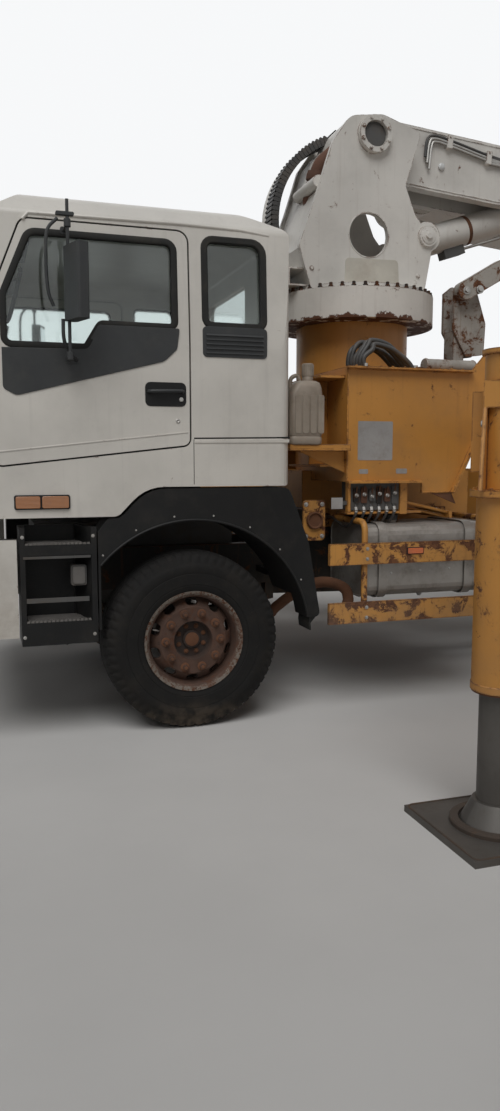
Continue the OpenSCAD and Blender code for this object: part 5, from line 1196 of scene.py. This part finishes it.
def side_parts():
    for word, side in SIDES:
        made = Piece("side_fittings_" + word, "root", side)
        made.use("black").plate(-1.540, 1.000, -1.417, 1.046, 0.006, 1.154, 1.159)
        made.use("orange").plate(-1.533, 1.005, -1.424, 1.041, 0.005, 1.157, 1.164)
        for x in (-2.08, -1.14):
            for z in (0.605, 0.670, 0.980, 1.045):
                made.use("steel").hexagon(at(x, 1.155, z), Y_AXIS, 0.008, 0.007)
            made.use("yellow_worn").block(x - 0.030, 1.100, 0.575, x + 0.030, 1.131, 0.700)
            made.block(x - 0.030, 1.100, 0.950, x + 0.030, 1.131, 1.075)
            for z in (1.160, 1.240):
                made.use("steel").hexagon(at(x + 0.030, 0.437, z), Y_AXIS, 0.009, 0.008)
        # tail of the frame: lamps' lenses and flap
        for k, key in enumerate(("red", "orange", "lens")):
            made.use(key).prism(slab(0.915 + 0.090 * k, 1.178, 0.990 + 0.090 * k, 1.242, 0.010), 0,
                FA - 8.449, FA - 8.440)
        x = REAR[1] - 0.612
        made.use("frame_black").box((x - 0.016, 0.422, 0.935), (x + 0.016, 1.225, 0.975))
        made.use("rubber").prism([(x - 0.004, 0.950), (x + 0.004, 0.950), (x, 0.46), (x - 0.010, 0.34),
            (x - 0.018, 0.34), (x - 0.008, 0.46)], 1, 0.570, 1.220)
        made.done(0.0015)
    made = Piece("fuel_tank_fittings")

    def section(inset, r):
        """Outline of the tank's section, drawn in by the inset."""
        return slab(0.55 + inset, 0.71 + inset, 1.09 - inset, 1.20 - inset, r, 6)
    for x in (-1.918, -1.285):
        near, far = x - 0.032, x + 0.032
        rings = [[at(near, *a), at(near, *b), at(far, *b), at(far, *a)]
                 for a, b in zip(section(0.003, 0.075), section(-0.002, 0.080))]
        made.use("tank").rings(rings, True)
    for x in (-2.048, -1.152):
        made.tube([at(x, *p) for p in section(0.012, 0.07)], 0.007, 8, True)
    for x, z in ((-1.348, 0.872), (-1.777, 0.887), (-1.56, 0.880), (-1.348, 1.05), (-1.777, 1.05)):
        made.use("steel").lathe(at(x, 1.0795, z), Y_AXIS, [(0, 0.009), (0.003, 0.008), (0.005, 0.003)], 14)
    made.use("tank").lathe(at(-1.30 - 0.12, 0.90, 1.185), (0, 0.25, 1),
        [(0, 0.046), (0.035, 0.046), (0.037, 0.044)], 28)
    made.use("trim").lathe(at(-1.42, 0.909, 1.220), (0, 0.25, 1), [(0, 0.050), (0.030, 0.050),
        (0.036, 0.044), (0.037, 0)], 28)
    made.use("steel").lathe(at(-1.60, 1.0, 0.722), (0, 0, -1), [(0, 0.018), (0.012, 0.018), (0.014, 0.012),
        (0.020, 0.012)], 6)
    made.done(0.001)


def legs():
    for word, side in SIDES:
        z = 1.5506 if side > 0 else 1.1506
        made = Piece("front_leg_fittings_" + word, "outrigger_front_" + word, side)
        ahead = Vector((math.cos(LEG_TURN), math.sin(LEG_TURN), 0))
        across = Vector((-ahead.y, ahead.x, 0))

        def on(a, b, h):
            return LEG_FOOT + ahead * a + across * b + Z_AXIS * h
        made.use("yellow").guard(on(0, 0, 0.628), 0.1235, 0.1275, 0.034)
        made.use("rusty").hoop(on(0, 0, 0.620), Z_AXIS, 0.0895, 0.1225, 0.009)
        made.use("yellow").bolts(around(on(0, 0, z - 0.071), ahead, across, 0.138, 8, math.pi / 8), Z_AXIS,
            0.009, 0.009)
        # blank label, dark port and pin on the gusset, and the leg's own lines
        for b, face in ((0.0965, 1), (-0.0965, -1)):
            n = across * face
            label = [on(p[0], b, z + p[1]) for p in slab(-0.02, 0.02, 0.085, 0.13, 0.008)]
            made.use("label").rings([label, [p + n * 0.002 for p in label]])
            made.use("black").lathe(on(-0.02, b, z + 0.315), n, [(0, 0.034), (0.001, 0.034), (0.0015, 0)], 24)
            made.use("yellow").hoop(on(-0.02, b, z + 0.315), n, 0.034, 0.044, 0.006, 24)
            made.use("steel").hexagon(on(0.06, b, z + 0.20), n, 0.014, 0.012)
        for b in (-0.05, 0.05):
            made.use("hose").tube(smooth([on(-0.128, b, z + 0.50), on(-0.150, b, z + 0.485),
                on(-0.140, b, z + 0.44), on(-0.122, b, z + 0.40), on(-0.120, b, z + 0.335)]), 0.010, 10)
            made.use("steel").lathe(on(-0.100, b, z + 0.50), -ahead, [(0, 0.016), (0.03, 0.016),
                (0.032, 0.012), (0.045, 0.012)], 6)
        made.done(0.001)
        made = Piece("rear_leg_fittings_" + word, "outrigger_rear_" + word, side)
        foot = Vector(at(-7.45 - REAR_LEG * math.cos(REAR_TURN), 0.92 + REAR_LEG * math.sin(REAR_TURN), 0))
        made.use("yellow").guard(foot + Z_AXIS * 0.598, 0.1235, 0.1275, 0.034)
        made.lathe(foot + Z_AXIS * 1.798, Z_AXIS, [(0, 0.124), (0.012, 0.124), (0.016, 0.118), (0.016, 0)],
            48)
        made.use("steel").bolts(around(foot + Z_AXIS * 1.814, X_AXIS, Y_AXIS, 0.095, 6), Z_AXIS, 0.010, 0.010)
        made.done(0.001)
        for which, place in (("front", LEG_FOOT), ("rear", foot)):
            made = Piece("foot_fittings_%s_%s" % (which, word), "jack_%s_%s" % (which, word), side)
            # low collar on the foot plate, and its edge bead
            made.use("foot").lathe(place + Z_AXIS * 0.0295, Z_AXIS, [(0, 0.162), (0, 0.200), (0.016, 0.200),
                (0.022, 0.194), (0.022, 0.162)], 48, True)
            edge = slab(-FOOT_HALF, -FOOT_HALF, FOOT_HALF, FOOT_HALF, 0.03)
            made.tube([(place.x + x, place.y + y, 0.0305) for x, y in edge], 0.005, 6, True)
            made.done()


def pump_parts():
    made = Piece("hopper_fittings").use("rubber")
    # splash guard round the top and agitator shaft ends
    rim = [(HOPPER + 0.005, -0.720, 1.49), (HOPPER + 0.005, 0.720, 1.49), (HOPPER + 0.842, 0.720, 1.555),
        (HOPPER + 0.842, -0.720, 1.555)]
    for a, b in zip(rim, rim[1:] + rim[:1]):
        run = [Vector(a).lerp(Vector(b), k / 12) for k in range(13)]
        made.use("yellow").tube(run, 0.010, 10)
    for side in (1, -1):
        made.use("cast").lathe((HOPPER + 0.42, 0.718 * side, 1.02), (0, side, 0),
            [(0, 0.10), (0.020, 0.10), (0.024, 0.09), (0.050, 0.055), (0.052, 0)], 32)
        flange = around((HOPPER + 0.42, 0.738 * side, 1.02), X_AXIS, Z_AXIS, 0.078, 6)
        made.use("steel").bolts(flange, (0, side, 0), 0.010, 0.010)
        made.use("yellow").prism([(HOPPER + 0.10, 1.38), (HOPPER + 0.72, 1.44), (HOPPER + 0.72, 1.46),
            (HOPPER + 0.10, 1.40)], 1, 0.718 * side, 0.736 * side)
    made.use("cast").rod((HOPPER + 0.42, -0.70, 1.02), (HOPPER + 0.42, 0.70, 1.02), 0.035, 20)
    for k in range(6):
        y = -0.55 + 0.22 * k
        a = 0.9 * k
        tip = Vector((HOPPER + 0.42 + 0.20 * math.cos(a), y, 1.02 + 0.20 * math.sin(a)))
        made.rod((HOPPER + 0.42, y, 1.02), tip, 0.014, 10)
        made.lathe(tip - Y_AXIS * 0.05, Y_AXIS, [(0, 0.02), (0.1, 0.02)], 10)
    made.done(0.002)
    made = Piece("pump_fittings").use("steel")
    z = 1.40
    for y in (-0.16, 0.16):
        for x, r in ((-8.70, 0.142), (-7.90, 0.132), (-7.10, 0.132), (-6.56, 0.142), (-6.04, 0.094),
                (-4.90, 0.094)):
            made.use("yellow").collar(at(x, y, z), X_AXIS, r, 0.044)
            made.use("steel").bolts(around(at(x + 0.044, y, z), Y_AXIS, Z_AXIS, r - 0.014, 8), X_AXIS,
                0.008, 0.008)
    for k in range(4):
        y = -0.24 + 0.16 * k
        made.use("hose").run([(-4.86, y * 0.6, 1.36), (-4.72, y, 1.345), (-4.60, y, 1.28), (-4.55, y, 1.16),
            (-4.55, y, 0.995)], 0.016, 10)
    made.done(0.001)
    made = Piece("base_pipe_couplings").use("steel")
    for x in (-8.30, -7.0, -5.6, -4.2, -2.9):
        c = Vector(at(x, PIPE_Y, PIPE_Z))
        made.use("steel").lathe(c, X_AXIS, [(-0.032, 0.061), (-0.032, 0.076), (-0.010, 0.084),
            (0.010, 0.084), (0.032, 0.076), (0.032, 0.061)], 28)
        made.use("rusty").tube(smooth([c + Vector((0.02, 0, 0.08)), c + Vector((0.0, 0.01, 0.10)),
            c + Vector((-0.09, 0.012, 0.095))]), 0.006, 8)
    for x, base in ((-7.6, DECK_Z), (-4.9, DECK_Z), (-2.99, 1.925)):
        # cradles of the pipe on the deck and on the left housing
        made.use("yellow").block(x - 0.02, 0.385, base, x + 0.02, 0.455, 2.17)
        made.tube(around(at(x, PIPE_Y, PIPE_Z), Y_AXIS, Z_AXIS, 0.068, 24), 0.008, 8, True)
    made.done(0.001)
    made = Piece("deck_fittings").use("yellow")
    for side in (1, -1):
        # tank lids, locker doors with their hinges and handles, and the hand rail
        for x in (-5.9, -5.1):
            made.use("yellow").lathe(at(x, 0.87 * side, 1.848), Z_AXIS,
                [(0, 0.17), (0.020, 0.17), (0.024, 0.16), (0.028, 0)], 40)
            made.use("steel").run([(x - 0.06, 0.87 * side, 1.872), (x - 0.05, 0.87 * side, 1.905),
                (x + 0.05, 0.87 * side, 1.905), (x + 0.06, 0.87 * side, 1.872)], 0.007, 8)
        for x0, x1 in ((-6.17, -5.52), (-5.48, -4.83)):
            made.use("yellow").plate(x0, 1.300, x1, 1.740, 0.03, 1.178 * side, 1.188 * side)
            made.use("steel").run([((x0 + x1) / 2 - 0.05, 1.188 * side, 1.69),
                ((x0 + x1) / 2 - 0.045, 1.199 * side, 1.69), ((x0 + x1) / 2 + 0.045, 1.199 * side, 1.69),
                ((x0 + x1) / 2 + 0.05, 1.188 * side, 1.69)], 0.006, 8)
            for x in (x0 + 0.08, x1 - 0.08):
                made.lathe(at(x - 0.04, 1.190 * side, 1.305), X_AXIS, [(0, 0.009), (0.08, 0.009)], 12)
        y = RAIL_Y * side
        ends = ((-8.30, DECK_Z), (-8.30, 1.90), (-8.26, 1.97), (-8.18, RAIL_Z), (-6.50, RAIL_Z),
            (-6.42, 1.97), (-6.38, 1.90), (-6.38, DECK_Z))
        made.use("yellow").run([(x, y, z) for x, z in ends], 0.019, 12, steps=4)
        made.tube([at(-8.30, y, 1.62), at(-6.38, y, 1.62)], 0.015, 12)
        made.rod(at(-7.34, y, DECK_Z), at(-7.34, y, RAIL_Z), 0.017, 12)
    made.done(0.002)


def under_parts():
    made = Piece("running_gear").use("frame_black")
    # drive shaft, its joints, brake chambers, air tanks and the battery box on the right
    made.rod(at(-0.30, 0, 0.66), (REAR[0] + 0.30, 0, 0.57), 0.050, 20)
    for p in (at(-0.32, 0, 0.66), (REAR[0] + 0.34, 0, 0.575)):
        made.lathe(p, (1, 0, 0.03), [(-0.06, 0.075), (-0.02, 0.085), (0.02, 0.085), (0.06, 0.075)], 24)
    for x in REAR:
        for side in (1, -1):
            made.use("cast").lathe((x - 0.23, 0.33 * side, 0.66), (-1, 0, 0.15),
                [(0, 0.070), (0.04, 0.085), (0.10, 0.085), (0.11, 0.092), (0.125, 0.092), (0.135, 0.085),
                (0.19, 0.080), (0.21, 0.05)], 28)
    for x in (-2.75, -3.75):
        for y in (-0.60, 0.60):
            made.use("frame_black").lathe(at(x, y, 0.82), -X_AXIS, [(0, 0.0), (0.02, 0.08), (0.06, 0.125),
                (0.78, 0.125), (0.82, 0.08), (0.84, 0)], 32)
        for d in (0.2, 0.6):
            made.use("steel").lathe(at(x - d, -0.60, 0.82), -X_AXIS, [(0, 0.127), (0.03, 0.127)], 32)
            for low, high in ((-0.48, -0.4176), (0.4176, 0.48)):
                made.block(x - d - 0.04, low, 0.78, x - d, high, 0.92)
    made.use("trim").plate(-2.02, 0.74, -1.20, 1.12, 0.03, -1.06, -0.56)
    for x in (-1.90, -1.38):
        made.use("frame_black").block(x, -0.565, 0.85, x + 0.06, -0.424, 0.99)
    made.use("steel").run([(-1.66, -1.06, 0.98), (-1.655, -1.075, 0.98), (-1.565, -1.075, 0.98),
        (-1.56, -1.06, 0.98)], 0.007, 8)
    made.done(0.002)


wheels()
cab_sides()
mirrors()
cab_front()
cabin()
steps()
can()
turret_parts()
lift_parts()
arm_parts()
pedestal_parts()
side_parts()
legs()
pump_parts()
under_parts()


# Photo's view
camera_data = bpy.data.cameras.new("camera")
camera_data.sensor_width = 36
camera_data.lens = 27.06
camera = bpy.data.objects.new("camera", camera_data)
bpy.context.scene.collection.objects.link(camera)
camera.location = (FA + 1.19, 5.92, 1.6)
camera.rotation_mode = "QUATERNION"
camera.rotation_quaternion = Vector((-0.307, -0.945, -0.113)).to_track_quat("-Z", "Y")
bpy.context.scene.camera = camera

# Soft light from an overcast sky
world = bpy.data.worlds.new("world")
bpy.context.scene.world = world
world.use_nodes = True
tree = world.node_tree
lit = tree.nodes["Background"]
lit.inputs["Strength"].default_value = 1.25
seen = tree.nodes.new("ShaderNodeBackground")
seen.inputs["Color"].default_value = (0.93, 0.94, 0.95, 1)
rays = tree.nodes.new("ShaderNodeLightPath").outputs


def larger(a, b):
    made = tree.nodes.new("ShaderNodeMath")
    made.operation = "MAXIMUM"
    tree.links.new(a, made.inputs[0])
    tree.links.new(b, made.inputs[1])
    return made.outputs[0]


mix = tree.nodes.new("ShaderNodeMixShader")
mirrored = larger(rays["Is Glossy Ray"], rays["Is Transmission Ray"])
for source, socket in zip((larger(rays["Is Camera Ray"], mirrored), lit.outputs[0], seen.outputs[0]),
        mix.inputs):
    tree.links.new(source, socket)
tree.links.new(mix.outputs[0], tree.nodes["World Output"].inputs["Surface"])
bpy.context.scene.view_settings.view_transform = "Standard"

sun_data = bpy.data.lights.new("sky_key", "SUN")
sun_data.energy = 1.75
sun_data.angle = math.radians(40)
sun = bpy.data.objects.new("sky_key", sun_data)
sun.rotation_euler = (math.radians(-32), math.radians(18), 0)
bpy.context.scene.collection.objects.link(sun)

floor_mesh = bpy.data.meshes.new("floor")
floor_mesh.from_pydata([(-60, -60, 0), (60, -60, 0), (60, 60, 0), (-60, 60, 0)], [], [(0, 1, 2, 3)])
floor = bpy.data.objects.new("floor", floor_mesh)
bpy.context.scene.collection.objects.link(floor)
ground = Surface("floor_grey", (0.60, 0.59, 0.575), 0.9)
ground.vary(0.03, 0.8)
floor_mesh.materials.append(ground.done())

PAINTS = {
    "white": "cab_shell door_left door_right front_bumper",
    "ring_white": "slewing_ring",
    "boom_white": "turret lift_barrel boom_arm_1 boom_arm_2 boom_arm_3 boom_arm_4",
    "yellow": "pedestal outrigger_housings pump_unit hopper tanks",
    "leg_yellow": "outrigger_front_left outrigger_front_right outrigger_rear_left outrigger_rear_right",
    "yellow_worn": "side_guards",
    "frame_black": "chassis_frame axles_and_springs knuckle_left knuckle_right",
    "boom_worn": "boom_rest",
    "cast": "engine valve_block hopper_grille",
    "black": "front_mudguards cab_steps rear_mudguards dashboard",
    "trim": "mirror_left mirror_right seats",
    "tyre": "tyre_front_left tyre_front_right wheels_rear_1_left wheels_rear_1_right "
            "wheels_rear_2_left wheels_rear_2_right",
    "rim_front": "rim_front_left rim_front_right",
    "rusty": "base_pipe",
    "chequer": "deck",
    "tank": "fuel_tank",
    "lens": "lamps",
    "can": "jerrycan",
    "chrome": "lift_rod fold_rod_2 fold_rod_3 fold_rod_4",
    "leg": "jack_front_left jack_front_right jack_rear_left jack_rear_right",
    "glass": "cab_glass door_glass_left door_glass_right",
}
glass = Surface("window_glass", (0.80, 0.86, 0.85), 0.05, Transmission_Weight=1.0, IOR=1.45)
MAT["glass"] = glass.done()
for key, names in PAINTS.items():
    for name in names.split():
        mesh = NODES[name].data
        mesh.materials.clear()
        mesh.materials.append(MAT[key])
